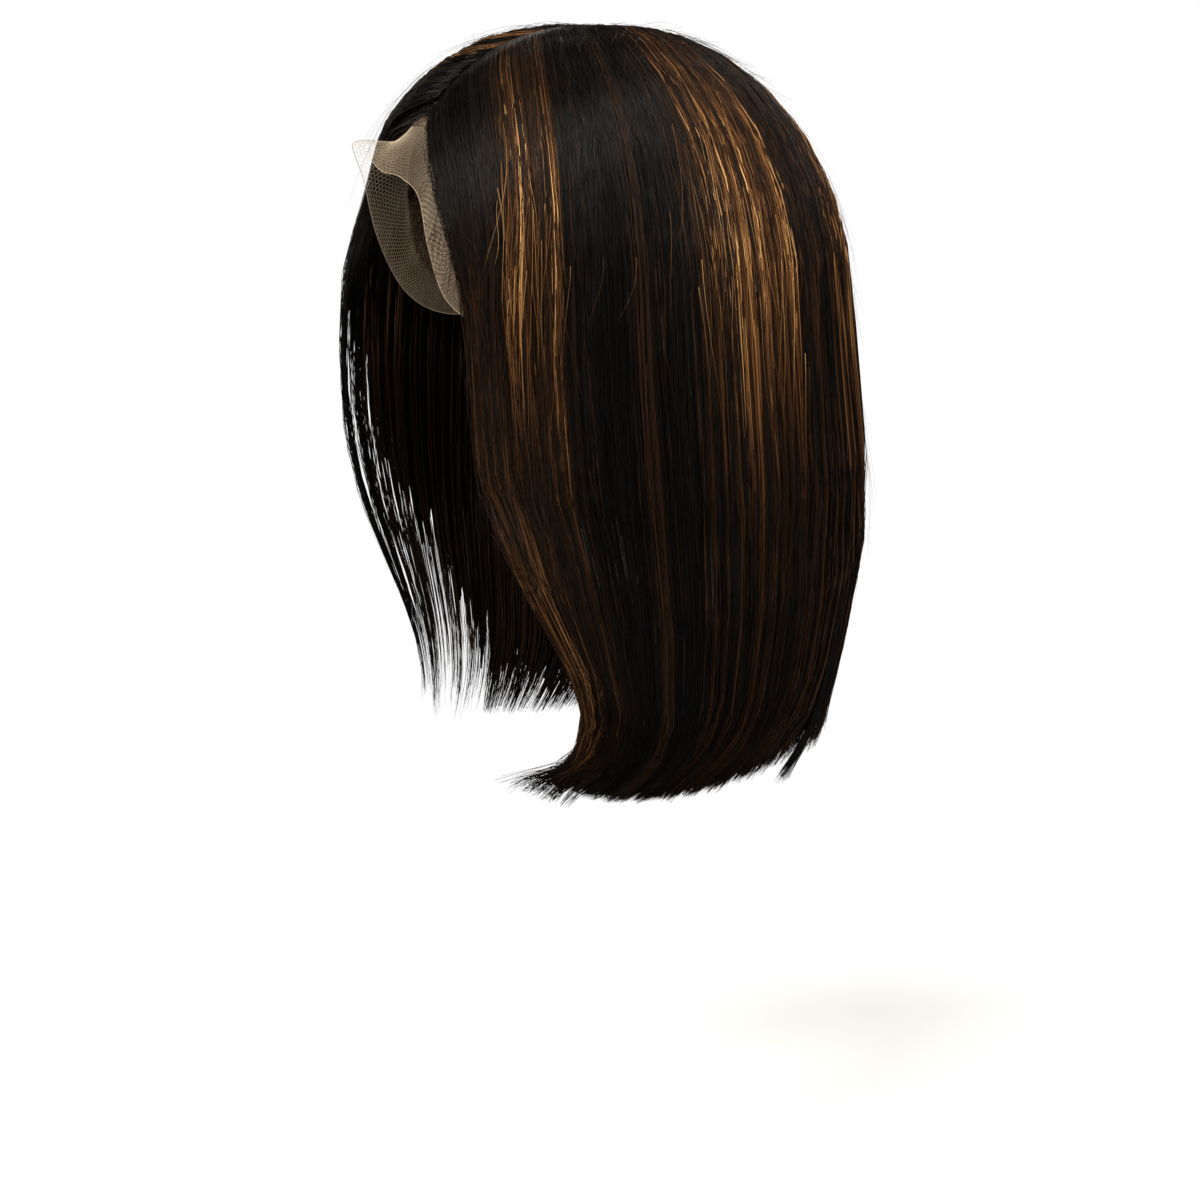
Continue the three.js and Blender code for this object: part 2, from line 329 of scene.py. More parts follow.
# %% [markdown]
# ## From turn and fall to a point
# A strand's place needs its turn round the head, how far it has fallen (0 at the part, 1 at eye
# level, 2 at the hem) and how deep it lies under the outer surface. Depth is a sink in millimetres
# and a share of the whole depth. Over the crown the path swings from the part to the side of the
# head. Below the eyes it hangs, bellies out a little and turns in at the tips. Three changes make
# strands of what the solids share: roots lie low on the lace, they start just past the middle of the
# part so that both sides close it, and tips turn less, because the hem is bent again further on.

# %% Crown and hang
PART_LIFT = 4.2
CROWN_LIFT = 7.5
PART_ROUNDING = 0.12
CROWN_HUMP_EARLY = 0.8
BASE_CLEARANCE = 2.3
TIP_START = 0.7
TIP_SHARPNESS = 3
TIP_THINNING = 0.6
LEAST_DEPTH = 1
TIP_TURN_SHARE = 0.6
ROOT_LIFT = 3.8
ROOT_RISE = 0.05
PART_CLOSING = -0.25


def level_direction(turn):
    angle = np.radians(turn)
    return np.stack([np.cos(angle), np.sin(angle), np.zeros_like(angle)], axis=-1)


def spin_about_z(vectors, degrees):
    angle = np.radians(degrees)
    x, y, z = np.moveaxis(vectors, -1, 0)
    turned_x = x * np.cos(angle) - y * np.sin(angle)
    turned_y = x * np.sin(angle) + y * np.cos(angle)
    return np.stack([turned_x, turned_y, z], axis=-1)


def crown_hair(turn, along, sink, share):
    fall = fall_at(turn)
    root = crown_direction(fall["root_x"] * PART_CLOSING, fall["root_y"])
    side = level_direction(turn)
    angle = np.arccos(np.clip((root * side).sum(axis=-1), -1, 1))
    from_root = np.sin((1 - along) * angle)[..., None]
    from_side = np.sin(along * angle)[..., None]
    hump = np.sin(along**CROWN_HUMP_EARLY * np.pi)
    direction = spin_about_z(unit(root * from_root + side * from_side), fall["swing"] * hump)
    top = blend(PART_LIFT, CROWN_LIFT, ease(along, 0, PART_ROUNDING))
    lift = blend(top, fall["lift"], ease(along)) + fall["loft"] * hump
    under = np.minimum(np.maximum(BASE_CLEARANCE, lift - fall["depth"]), lift - LEAST_DEPTH)
    deep = np.maximum(lift - sink - share * (lift - under), under)
    return off_head(direction, blend(ROOT_LIFT, deep, ease(along, 0, ROOT_RISE)))


def hanging_hair(turn, along, sink, share):
    fall = fall_at(turn)
    tip = np.clip((along - TIP_START) / (1 - TIP_START), 0, 1) ** TIP_SHARPNESS
    start = head_reach(level_direction(turn)) + fall["lift"]
    swell = fall["belly"] * np.sin(along * np.pi) ** 2
    reach = blend(start, fall["hem_reach"], ease(along)) + swell - fall["tip_in"] * tip
    depth = np.minimum(fall["lift"] - BASE_CLEARANCE, fall["depth"]) * (1 - TIP_THINNING * tip)
    drift = fall["drift"] * ease(np.maximum(along, 0) ** fall["late"])
    inward = np.minimum(sink + share * depth, depth)
    turned = turn + drift + TIP_TURN_SHARE * fall["tip_turn"] * tip
    point = level_direction(turned) * (reach - inward)[..., None]
    point[..., 2] = blend(-HEAD_CROWN_HEIGHT, fall["hem_z"], along)
    return point


def two_part_point(turn, down, sink, share):
    over = crown_hair(turn, np.clip(down, 0, 1), sink, share)
    below = hanging_hair(turn, np.maximum(down - 1, 0), sink, share)
    return np.where((down <= 1)[..., None], over, below)


print("parting at the crown:", two_part_point(0.0, np.array(0.0), 0.0, 0.0).round(1))

# %% [markdown]
# ## One smooth path
# The two halves of a path meet at eye level with a slight bend, which light would show as a line
# round the head. So near that level a point is the mean of three places on the path, above, at and
# below its own, and its own counts twice. The further from eye level, the closer the three are.

# %% One smooth path
JOIN_REACH = 0.45
JOIN_ROUNDING = 0.2


def hair_point(turn, down, sink, share):
    turn, down, sink, share = np.broadcast_arrays(turn, down, sink, share)
    near_join = np.clip(1 - np.abs(down - 1) / JOIN_REACH, 0, 1)
    step = JOIN_ROUNDING * near_join
    before = two_part_point(turn, down - step, sink, share)
    after = two_part_point(turn, down + step, sink, share)
    return (before + 2 * two_part_point(turn, down, sink, share) + after) / 4


print("left ear hem:", hair_point(0.0, 2.0, 0.0, 0.0).round(1))

# %% [markdown]
# ## Hair dye
# Near-black hair has caramel bands painted into it. Each strand carries a tone from 0, near black,
# to 1, honey, as an attribute on its points. One node group turns the tone into a colour and a
# roughness: bleached hair is lighter and a little rougher. Both hair materials place this group
# with their own values, so a change of dye is made once.

# %% The dye group
TONE_COLOURS = [
    (0.0, (0.0014, 0.0011, 0.0009)),
    (0.06, (0.0062, 0.0050, 0.0040)),
    (0.13, (0.0125, 0.0074, 0.0046)),
    (0.25, (0.030, 0.0125, 0.0050)),
    (0.45, (0.102, 0.043, 0.0155)),
    (0.7, (0.325, 0.147, 0.046)),
    (1.0, (0.950, 0.550, 0.215)),
]
BLEACH_ROUGHNESS = 0.12


def dye_group():
    group = bpy.data.node_groups.new("hair_dye", "ShaderNodeTree")
    sockets = group.interface
    sockets.new_socket("Tone", in_out="INPUT", socket_type="NodeSocketFloat")
    sockets.new_socket("Smoothest", in_out="INPUT", socket_type="NodeSocketFloat")
    sockets.new_socket("Colour", in_out="OUTPUT", socket_type="NodeSocketColor")
    sockets.new_socket("Roughness", in_out="OUTPUT", socket_type="NodeSocketFloat")
    nodes, links = group.nodes, group.links
    taken = nodes.new("NodeGroupInput")
    given = nodes.new("NodeGroupOutput")
    ramp = nodes.new("ShaderNodeValToRGB")
    stops = ramp.color_ramp.elements
    while len(stops) < len(TONE_COLOURS):
        stops.new(0.5)
    for stop, (tone, colour) in zip(stops, TONE_COLOURS):
        stop.position = tone
        stop.color = (*colour, 1)
    rougher = nodes.new("ShaderNodeMath")
    rougher.operation = "MULTIPLY_ADD"
    rougher.inputs[1].default_value = BLEACH_ROUGHNESS
    links.new(taken.outputs["Tone"], ramp.inputs["Fac"])
    links.new(taken.outputs["Tone"], rougher.inputs[0])
    links.new(taken.outputs["Smoothest"], rougher.inputs[2])
    links.new(ramp.outputs["Color"], given.inputs["Colour"])
    links.new(rougher.outputs[0], given.inputs["Roughness"])
    return group


hair_dye = dye_group()
print("dye stops:", len(TONE_COLOURS))

# %% The two hair finishes
def hair_material(name, smoothest, specular):
    material = bpy.data.materials.new(name)
    material.use_nodes = True
    nodes, links = material.node_tree.nodes, material.node_tree.links
    shader = nodes["Principled BSDF"]
    shader.inputs["Specular IOR Level"].default_value = specular
    tone = nodes.new("ShaderNodeAttribute")
    tone.attribute_name = "strand_tone"
    dye = nodes.new("ShaderNodeGroup")
    dye.node_tree = hair_dye
    dye.inputs["Smoothest"].default_value = smoothest
    links.new(tone.outputs["Fac"], dye.inputs["Tone"])
    links.new(dye.outputs["Colour"], shader.inputs["Base Color"])
    links.new(dye.outputs["Roughness"], shader.inputs["Roughness"])
    return material


HAIR_FINISH = {
    "dark_hair": hair_material("near_black_hair", smoothest=0.33, specular=0.098),
    "caramel_hair": hair_material("caramel_hair", smoothest=0.36, specular=0.07),
}
print("hair finishes:", sorted(HAIR_FINISH))

# %% [markdown]
# ## Tone along the strand
# A painted band is strongest at one height and fades away below. Each profile gives the tone at set
# places down the strand. A strand's strength then moves it between the ground tone and the band.
# Strengths come in a fixed number of steps, called lots here: strands of one lot are dyed alike, so
# they can share one column of a texture when the part is exported. Each lot's band also lies a
# little higher or lower, so that bands don't end in a line.

# %% Dye profiles
PROFILE_DOWN = (0.0, 0.12, 0.3, 0.6, 1.0, 1.2, 1.4, 1.65, 2.0)
PROFILES = {
    # front_band and front_brown rise at the tips into light-brown lines near the front of the hem: brown
    # strands, made lighter still as painted sheen on that lock, which faces the lamps
    "front_band": (0.34, 0.38, 0.48, 1.00, 0.92, 0.58, 0.30, 0.34, 0.55),
    "side_band": (0.16, 0.30, 0.50, 0.90, 0.97, 0.56, 0.32, 0.28, 0.34),
    # far_band: caramel that crosses the part on the far side. Its roots are far brighter than the near
    # band's, as painted top light on the far crown
    "far_band": (0.62, 0.80, 0.88, 0.80, 0.74, 0.55, 0.38, 0.28, 0.20),
    "back_band": (0.08, 0.18, 0.50, 0.80, 0.82, 0.64, 0.50, 0.40, 0.30),
    "brown": (0.14, 0.22, 0.30, 0.36, 0.36, 0.34, 0.34, 0.40, 0.42),
    "front_brown": (0.05, 0.08, 0.12, 0.18, 0.26, 0.36, 0.46, 0.64, 0.78),
    "black": (0.02, 0.02, 0.02, 0.02, 0.02, 0.02, 0.02, 0.02, 0.02),
    "front_black": (0.02, 0.02, 0.02, 0.03, 0.05, 0.08, 0.09, 0.10, 0.09),
    "front_under": (0.05, 0.08, 0.10, 0.10, 0.08, 0.07, 0.07, 0.07, 0.07),
    "side_under": (0.03, 0.06, 0.09, 0.10, 0.09, 0.07, 0.05, 0.04, 0.03),
}
LOTS = 64
LOT_SHIFT = 0.3
LOT_SCATTER = 0.618


def lot_of(strength):
    return np.clip(np.rint(strength * (LOTS - 1)), 0, LOTS - 1).astype(int)


def tone_of(lot, down, band, ground):
    strength = lot / (LOTS - 1)
    shifted = down + LOT_SHIFT * (((lot * LOT_SCATTER) % 1) - 0.5)
    painted = np.interp(shifted, PROFILE_DOWN, PROFILES[band])
    plain = np.interp(shifted, PROFILE_DOWN, PROFILES[ground])
    return blend(plain, painted, strength)


print("profiles:", len(PROFILES), "lots:", LOTS)

# %% [markdown]
# ## Where the bands are bright
# Inside a caramel band some streaks are honey and others stay dark. A short table lists the streaks
# by their turn, and the right side mirrors them. The last two streaks lie on the back outline as the
# camera sees it. They are painted sheen of the back light, in caramel, beside the real band. Away from
# the streaks the strength is low, with a brown wisp here and there, as in hair that was painted by
# hand. Luck is a number from 0 to 1 that each wisp and each strand draws later.

# %% Streaks
STREAKS = [
    # turn, half width, strength
    (-52.0, 0.7, 0.5),
    (-50.6, 0.9, 1.0),
    (-48.9, 0.7, 0.9),
    (-46.8, 0.9, 0.5),
    (-44.6, 0.6, 0.4),
    (-42.6, 0.7, 0.7),
    (-41.0, 0.8, 1.0),
    (-39.4, 0.6, 0.7),
    (-36.4, 0.4, 0.7),
    (-33.5, 0.35, 0.6),
    (-29.5, 0.3, 0.5),
    (-18.0, 1.6, 0.55),
    (-8.0, 0.4, 0.6),
    (-3.0, 0.8, 0.9),
    (1.6, 1.2, 1.0),
    (4.6, 0.9, 0.85),
    (8.6, 1.6, 1.0),
    (12.0, 1.3, 1.0),
    (15.8, 1.3, 0.85),
    (20.8, 1.8, 0.68),
    (25.4, 1.8, 0.74),
    (30.5, 1.2, 0.85),
    (36.0, 1.0, 0.5),
    (49.0, 2.0, 0.7),
    (53.5, 2.2, 0.9),
    (57.5, 1.8, 1.0),
    # painted sheen: these two streaks give the back outline a caramel edge where the back light shines
    (61.8, 1.8, 1.0),
    (66.0, 1.2, 0.8),
]
MIRROR_TURN = 180
WISP_LUCK = (0, 0.26, 0.4, 0.75, 1)
WISP_PAINT = (0.04, 0.12, 0.7, 1.05, 1.25)
STRAND_PAINT = (0.35, 1.25)
BROWN_STRENGTH = 0.9
# painted sheen: a black wisp is lightened at random by up to this strength, standing in for the streaky
# sheen of black hair
DARK_TONE_AND_SHEEN_STRENGTH = 0.14
BROWN_PAINT = (0.4, 1)
SINGLE_LUCK = 0.99
SINGLE_STRENGTH = 0.7


def streak_strength(turn):
    strongest = np.zeros_like(turn)
    for place, half_width, strength in STREAKS:
        for centre in (place, MIRROR_TURN - place):
            glow = strength * np.exp(-(((turn - centre) / half_width) ** 2))
            strongest = np.maximum(strongest, glow)
    return strongest


def wisp_strength(section, turn, wisp_luck, strand_luck):
    dark_to_honey = np.interp(wisp_luck, WISP_LUCK, WISP_PAINT)
    painted = streak_strength(turn) * dark_to_honey * blend(*STRAND_PAINT, strand_luck)
    is_brown = wisp_luck > 1 - section["brown"]
    # brown wisps are real dye, and the other wisps are lightened a little at random as painted sheen
    brown = np.where(is_brown, BROWN_STRENGTH, DARK_TONE_AND_SHEEN_STRENGTH * wisp_luck)
    brown = brown * blend(*BROWN_PAINT, strand_luck)
    single = np.where(strand_luck > SINGLE_LUCK, SINGLE_STRENGTH, 0)
    return np.clip(np.maximum(np.maximum(painted, brown), single), 0, 1)


print("streaks:", len(STREAKS))

# %% [markdown]
# ## From paths to a mesh of strands
# A strand is a thin tube with three sides that tapers at both ends. Curves with a bevel would make
# the same tubes, but thousands of them are slow to convert, so the corner points of all strands are
# worked out as one array and joined into one mesh. The strand's tone is stored on its points, and
# its lot and its place down the strand make the texture layout.

# %% Tubes round the paths
SIDES = 3
CROWN_FLATNESS = 0.5


def tube_corners(paths, radii):
    along = unit(np.gradient(paths, axis=1))
    outward = paths * (1, 1, CROWN_FLATNESS)
    outward[..., 2] += HEAD_CROWN_HEIGHT * CROWN_FLATNESS
    across = unit(np.cross(along, outward))
    raised = np.cross(across, along)
    angles = np.pi / 2 + np.arange(SIDES) * 2 * np.pi / SIDES
    ring = (
        across[..., None, :] * np.cos(angles)[:, None]
        + raised[..., None, :] * np.sin(angles)[:, None]
    )
    return paths[..., None, :] + ring * radii[..., None, None]


def tube_faces(strands, points):
    ring = np.arange(points - 1)[:, None] * SIDES
    side = np.arange(SIDES)[None, :]
    following = (side + 1) % SIDES
    quads = np.stack([ring + side, ring + following, ring + SIDES + following, ring + SIDES + side], -1)
    start = (np.arange(strands) * points * SIDES)[:, None, None]
    quads = (quads.reshape(1, -1, 4) + start).reshape(-1, 4)
    ends = np.array([[2, 1, 0], [0, 1, 2]]) + np.array([[0], [(points - 1) * SIDES]])
    ends = (ends[None] + start).reshape(-1, 3)
    return quads, ends


print("sides of a strand:", SIDES)

# %% Strand mesh
BAKE_LAYOUT = "OFBake"
LAYOUT_LENGTH = 2.2
COLUMN_PART = (0.2, 0.8)


def store_dye(mesh, tones, layout):
    tone = mesh.attributes.new("strand_tone", "FLOAT", "POINT")
    tone.data.foreach_set("value", tones.astype(np.float32))
    corner = np.zeros(len(mesh.loops), np.int32)
    mesh.loops.foreach_get("vertex_index", corner)
    uv = mesh.uv_layers.new(name=BAKE_LAYOUT)
    uv.data.foreach_set("uv", layout[corner].astype(np.float32).ravel())


def bundle_layout(lot, down):
    column = (lot[:, None, None] + np.linspace(*COLUMN_PART, SIDES)) / LOTS
    column = np.broadcast_to(column, (*down.shape, SIDES))
    height = np.broadcast_to(down[..., None] / LAYOUT_LENGTH, column.shape)
    return np.stack([column, height], axis=-1).reshape(-1, 2)


def strand_mesh(name, bundles):
    corners, faces, tones, layout = [], [], [], []
    first = 0
    for paths, radii, tone, lot, down in bundles:
        strands, points = radii.shape
        corners.append(tube_corners(paths, radii).reshape(-1, 3))
        quads, ends = tube_faces(strands, points)
        faces += (quads + first).tolist() + (ends + first).tolist()
        tones.append(np.repeat(tone.ravel(), SIDES))
        layout.append(bundle_layout(lot, down))
        first += strands * points * SIDES
    mesh = bpy.data.meshes.new(name)
    mesh.from_pydata((np.vstack(corners) * MM).tolist(), [], faces)
    store_dye(mesh, np.concatenate(tones), np.vstack(layout))
    mesh.shade_smooth()
    return mesh


print("texture columns:", LOTS)

# %% [markdown]
# ## Wisps
# Combed hair doesn't lie as single strands. It gathers into wisps a few millimetres wide that share
# a direction, a depth and a length, and each strand strays a little from its wisp. So chance acts
# twice here, once for the wisp and once for the strand. All of it comes from one seeded generator.
# A section is also cut into a few rounded locks with a groove between them, as the solids are.

# %% Chance and locks
DOWN_STEPS = np.array(
    [0, 0.06, 0.16, 0.3, 0.46, 0.64, 0.84, 1.06, 1.32, 1.58, 1.77, 1.86, 1.94, 2.0]
)
SHORT_STEPS = np.array([0, 0.4, 0.8, 1.15, 1.45, 1.65, 1.8, 1.9, 2.0])
TIP_STEPS = np.array([0, 0.8, 1.25, 1.55, 1.8, 2.0])
LOCK_RELIEF_ROOT = 0.5
LOCK_RELIEF_TIP = 2.4
LOCK_ROUNDNESS = 0.7
TIP_DROP = 2
GROOVE_DROP = 0.5
TIP_DROP_LATE = 4
SEED = 20260
chance = np.random.default_rng(SEED)


def lock_crest(turn, section):
    share = (turn - section["start"]) / (section["end"] - section["start"]) * section["locks"]
    return np.abs(np.sin(share * np.pi)) ** LOCK_ROUNDNESS


def lock_groove(down, crest):
    return blend(LOCK_RELIEF_ROOT, LOCK_RELIEF_TIP, down / 2) * (1 - crest)


def drop_tips(points, down, crest, longer):
    hanging = np.clip(down - 1, 0, None)
    points[..., 2] -= (TIP_DROP * blend(GROOVE_DROP, 1, crest) + longer) * hanging**TIP_DROP_LATE
    return points


def wave(down, pace, phase):
    return np.sin((down * pace + phase) * 2 * np.pi)


print("points down a long strand:", len(DOWN_STEPS))

# %% [markdown]
# ## The hem and the comb
# Brushed under, the tips of a bob bend forward and lie along the hem, which gives it a smooth lower
# edge. Each strand's last centimetres are a piece of a circle: `bend_at` says how far its direction
# has turned at the tip. A bent tip reaches less far down, so the strand is made longer by as much.
# The comb also pulls the roots of the side hair forward, and `lean_at` says by how many degrees.

# %% Hem bend and root lean
SWEEP_ZONE = 46
HANG_LENGTH = 188
HEM_MM_PER_DEGREE = 1.75
LEAN_FADE = 0.6
BEND_ROWS = [
    (-66, 4), (-57, 14), (-49, 55), (-38, 80), (0, 82), (28, 76), (44, 52), (60, 14),
    (90, 0), (120, -30), (152, -40), (181, -25), (219, -12), (246, -8),
]
LEAN_ROWS = [
    (-66, 0), (-39, 0), (-1, -9), (28, -9), (60, 0), (120, 0), (152, 9), (181, 9), (219, 0), (246, 0),
]
bend_at = smooth_table("turn bend", BEND_ROWS)
lean_at = smooth_table("turn lean", LEAN_ROWS)


def bend_of(turn):
    return np.radians(bend_at(turn)["bend"])


def longest_fall(turn):
    return 2 + SWEEP_ZONE * (1 - np.sinc(bend_of(turn) / np.pi)) / HANG_LENGTH


def sweep_forward(turn, down):
    zone = SWEEP_ZONE / HANG_LENGTH
    gone = np.clip(1 + (down - longest_fall(turn)) / zone, 0, None)
    bent = bend_of(turn) * gone
    forward = SWEEP_ZONE * gone * np.sinc(bent / (2 * np.pi)) * np.sin(bent / 2)
    rise = SWEEP_ZONE * gone * (1 - np.sinc(bent / np.pi))
    return turn - forward / HEM_MM_PER_DEGREE, rise


def lean_roots(turn, down):
    return turn + lean_at(turn)["lean"] * (1 - ease(down, 0, LEAN_FADE))


print("longest strand at the left ear:", round(float(longest_fall(0)), 3))

# %% [markdown]
# ## One strand among its wisp
# Two small functions draw luck: one value for a whole wisp, or one for each strand. A cubed draw from
# -1 to 1 is mostly near 0, so only a few strands stray far. Zones are stretches of the fall in which
# an effect sets in. Wisps gather towards their tips and ripple a little, and only their last stretch
# may go far beyond the section.

# %% Draws for wisp and strand
def wisp_draws(wisps, per_wisp):
    def each_wisp(low, high):
        return np.repeat(chance.uniform(low, high, wisps), per_wisp)[:, None]

    def each_strand(low, high):
        return chance.uniform(low, high, (wisps * per_wisp, 1))

    return each_wisp, each_strand


print("draws start from seed", SEED)

# %% Turn of strands
BORDER_STRAY = 2.2
WISP_WIDTH = (0.5, 1.3)
GATHER_ZONE = (0.5, 1.8)
COMB_PACE = (0.2, 0.5)
STRAY_PACE = (0.3, 1)
STRAY_ZONE = (0.1, 0.9)
FREE_ZONE = (1.5, 2.0)
FRAY_ZONE = (1.55, 2.0)


def strand_turns(section, layer, down, centre, each_wisp, each_strand):
    beside = layer.get("wisp", section["wisp"]) * each_wisp(*WISP_WIDTH) * each_strand(-1, 1)
    gather = 1 - layer.get("gather", section["gather"]) * ease(down, *GATHER_ZONE)
    combed = section["sway"] * each_wisp(-1, 1) * wave(down, each_wisp(*COMB_PACE), each_wisp(0, 1))
    wander = wave(down, each_strand(*STRAY_PACE), each_strand(0, 1))
    stray = section["stray"] * each_strand(-1, 1) ** 3 * wander
    turn = centre + beside * gather + (combed + stray) * ease(down, *STRAY_ZONE)
    kept = np.clip(turn, section["start"] - BORDER_STRAY, section["end"] + BORDER_STRAY)
    fray = section["fray"] * each_strand(-1, 1) ** 3 * ease(down, *FRAY_ZONE) ** 2
    return blend(kept, turn, ease(down, *FREE_ZONE)) + fray


print("wisps gather in zone", GATHER_ZONE, "and tips go free in zone", FREE_ZONE)

# %% Depth, flick and thickness of strands
RIPPLE_DEPTH = (0, 0.7)
RIPPLE_PACE = (0.3, 0.9)
RIPPLE_ZONE = (0, 0.4)
STRAND_SINK = (0, 0.5)
FLICK_START = 1.7
FLICK_LENGTH = 0.3
FLICK_SHARPNESS = 2.5
FLICK_PART = (0.8, 1.1)
ROOT_TAPER = (-0.12, 0.06)
TIP_TAPER = (0.86, 1.0)
TIP_LOSS = 0.7
RADIUS_PART = (0.7, 1.15)


def strand_depths(layer, down, crest, each_wisp, each_strand):
    ripple = each_wisp(*RIPPLE_DEPTH) * wave(down, each_wisp(*RIPPLE_PACE), each_wisp(0, 1))
    sink = each_wisp(*layer["sink"]) + each_strand(*STRAND_SINK) + lock_groove(down, crest)
    share = each_wisp(*layer["share"]) * np.ones_like(down)
    return np.maximum(sink + ripple * ease(down, *RIPPLE_ZONE), 0), share


def tip_flick(section, layer, down, each_wisp, each_strand):
    most = section["flick"] * layer.get("flick", 1)
    curl = np.clip((down - FLICK_START) / FLICK_LENGTH, 0, 1) ** FLICK_SHARPNESS
    return most * each_wisp(0, 1) * each_strand(*FLICK_PART) * curl


def strand_radii(layer, each_strand):
    gone = layer["steps"] / 2
    taper = np.minimum(ease(gone, *ROOT_TAPER), 1 - TIP_LOSS * ease(gone, *TIP_TAPER))
    return each_strand(*RADIUS_PART) * layer["radius"] * taper


print("strand thickness varies by", RADIUS_PART)

# %% [markdown]
# ## A layer of wisps
# A layer is a set of wisps that start at like heights and lie at like depths. Each section has
# several. Wisps stand side by side across the section and reach a little over its borders, so bands
# of dye blend into each other. Where a section is crowded, its wisps stand closer at its first turn.

# %% Place and length of wisps
BORDER_MIX = 1.0
FIRST_TURN = -62
LAST_TURN = 242
WISP_SHORTER = (0, 0.7)
STRAND_SHORTER = (0, 0.3)
STEP_JITTER = 0.07


def wisp_centres(section, layer, wisps, per_wisp, each_wisp):
    place = (np.repeat(np.arange(wisps), per_wisp)[:, None] + each_wisp(0, 1)) / wisps
    mixed = (section["start"] - BORDER_MIX, section["end"] + BORDER_MIX)
    centre = blend(*layer.get("turns", mixed), place ** section["crowd"])
    return np.clip(centre, FIRST_TURN, LAST_TURN)


def strand_falls(section, layer, start, centre, each_wisp, each_strand):
    longest = layer.get("end", longest_fall(centre))
    shorter = (each_wisp(*WISP_SHORTER) + each_strand(*STRAND_SHORTER)) ** 2
    end = longest - section["uneven"] * shorter
    steps = layer["steps"]
    jitter = each_strand(-STEP_JITTER, STEP_JITTER) * np.sin(steps * np.pi / 2)
    return blend(start, end, steps / 2) + jitter


print("wisps reach over a border by", BORDER_MIX, "degree")

# %% Wisps of one layer
WISP_LONGER = (-1, 0.6)
STRAND_LONGER = (-2.6, 1.2)
FLICK_RISE = 0.1


def strand_paths(section, layer, down, centre, each_wisp, each_strand):
    turn = strand_turns(section, layer, down, centre, each_wisp, each_strand)
    flick = tip_flick(section, layer, down, each_wisp, each_strand)
    crest = lock_crest(centre, section)
    sink, share = strand_depths(layer, down, crest, each_wisp, each_strand)
    swept, rise = sweep_forward(lean_roots(turn, down), down)
    paths = hair_point(swept - flick, down, sink, share)
    longer = section["longer"] * (each_wisp(*WISP_LONGER) + each_strand(*STRAND_LONGER))
    paths = drop_tips(paths, down, crest, longer + layer.get("longer", 0))
    paths[..., 2] += rise + FLICK_RISE * flick
    return paths, turn


def layer_bundle(section, layer):
    per_wisp = round(layer["per_wisp"] * section["clump"])
    wisps = max(int(section["strands"] * layer["amount"] / per_wisp), 1)
    each_wisp, each_strand = wisp_draws(wisps, per_wisp)
    start = each_strand(*layer["start"])
    centre = wisp_centres(section, layer, wisps, per_wisp, each_wisp)
    down = strand_falls(section, layer, start, centre, each_wisp, each_strand)
    paths, turn = strand_paths(section, layer, down, centre, each_wisp, each_strand)
    middle = turn[:, [len(layer["steps"]) // 2]]
    strength = wisp_strength(section, middle, each_wisp(0, 1), each_strand(0, 1))
    least = layer.get("least", 0) * each_strand(0, 1)
    lot = lot_of(np.maximum(strength * layer["dye"], least)[:, 0])
    tone = tone_of(lot[:, None], down, section["band"], section["ground"])
    return paths, strand_radii(layer, each_strand), tone, lot, down


print("tips are longer or shorter by", WISP_LONGER, "for a wisp and", STRAND_LONGER, "for a strand")

# %% [markdown]
# ## The core under the strands
# Strands alone would let light through in places. Each section of hair has a thin dark sheet a few
# millimetres under its surface, which stands for the mass of hair below. It starts as a flat grid
# that is extruded into a slab, and then every corner is moved to its place on the head. It stops
# short of the hem with a ragged edge, so that only strand tips show there. On the thin right side it
# ends higher and higher towards the face, and light comes through the strands below it.

# %% Bent wall
def bent_wall(name, columns, rows, place):
    wall = bmesh.new()
    bmesh.ops.create_grid(wall, x_segments=columns, y_segments=rows, size=0.5)
    raised = bmesh.ops.extrude_face_region(wall, geom=wall.faces[:])["geom"]
    corners = [item for item in raised if isinstance(item, bmesh.types.BMVert)]
    bmesh.ops.translate(wall, verts=corners, vec=(0, 0, 1))
    bmesh.ops.translate(wall, verts=wall.verts, vec=(0.5, 0.5, 0))
    bmesh.ops.recalc_face_normals(wall, faces=wall.faces)
    across, up, outward = np.array([vert.co for vert in wall.verts]).T
    for vert, point in zip(wall.verts, place(across, up, outward) * MM):
        vert.co = point
    mesh = bpy.data.meshes.new(name)
    wall.to_mesh(mesh)
    wall.free()
    mesh.shade_smooth()
    return mesh


# %% Core sheet
CORE_COLUMNS_PER_LOCK = 10
CORE_ROWS = 28
CORE_START = 0.01
CORE_SINK = 2.4
CORE_WALL = 0.9
CORE_SHARE = 0.12
CORE_TONE = 0.02
CORE_LAYOUT = 0.5 / LOTS
RAGGED_WAVES = [
    # height, pace
    (0.05, 2.1),
    (0.03, 5.3),
]


def core_mesh(section):
    columns = section["locks"] * CORE_COLUMNS_PER_LOCK

    def place(across, up, outward):
        ragged = sum(height * np.sin(across * columns * pace) for height, pace in RAGGED_WAVES)
        end = blend(section["core_first"], section["core_last"], across) + section["ragged"] * ragged
        down = blend(end, CORE_START, up)
        turn = blend(section["start"], section["end"], across)
        crest = lock_crest(turn, section)
        sink = CORE_SINK + CORE_WALL * (1 - outward) + lock_groove(down, crest)
        swept, rise = sweep_forward(lean_roots(turn, down), down)
        points = hair_point(swept, down, sink, np.full_like(turn, CORE_SHARE))
        points = drop_tips(points, down, crest, longer=0)
        points[..., 2] += rise
        return points

    mesh = bent_wall("core", columns, CORE_ROWS, place)
    tones = np.full(len(mesh.vertices), CORE_TONE)
    layout = np.full((len(mesh.vertices), 2), CORE_LAYOUT)
    store_dye(mesh, tones, layout)
    return mesh


print("core lies", CORE_SINK, "mm under the strands")

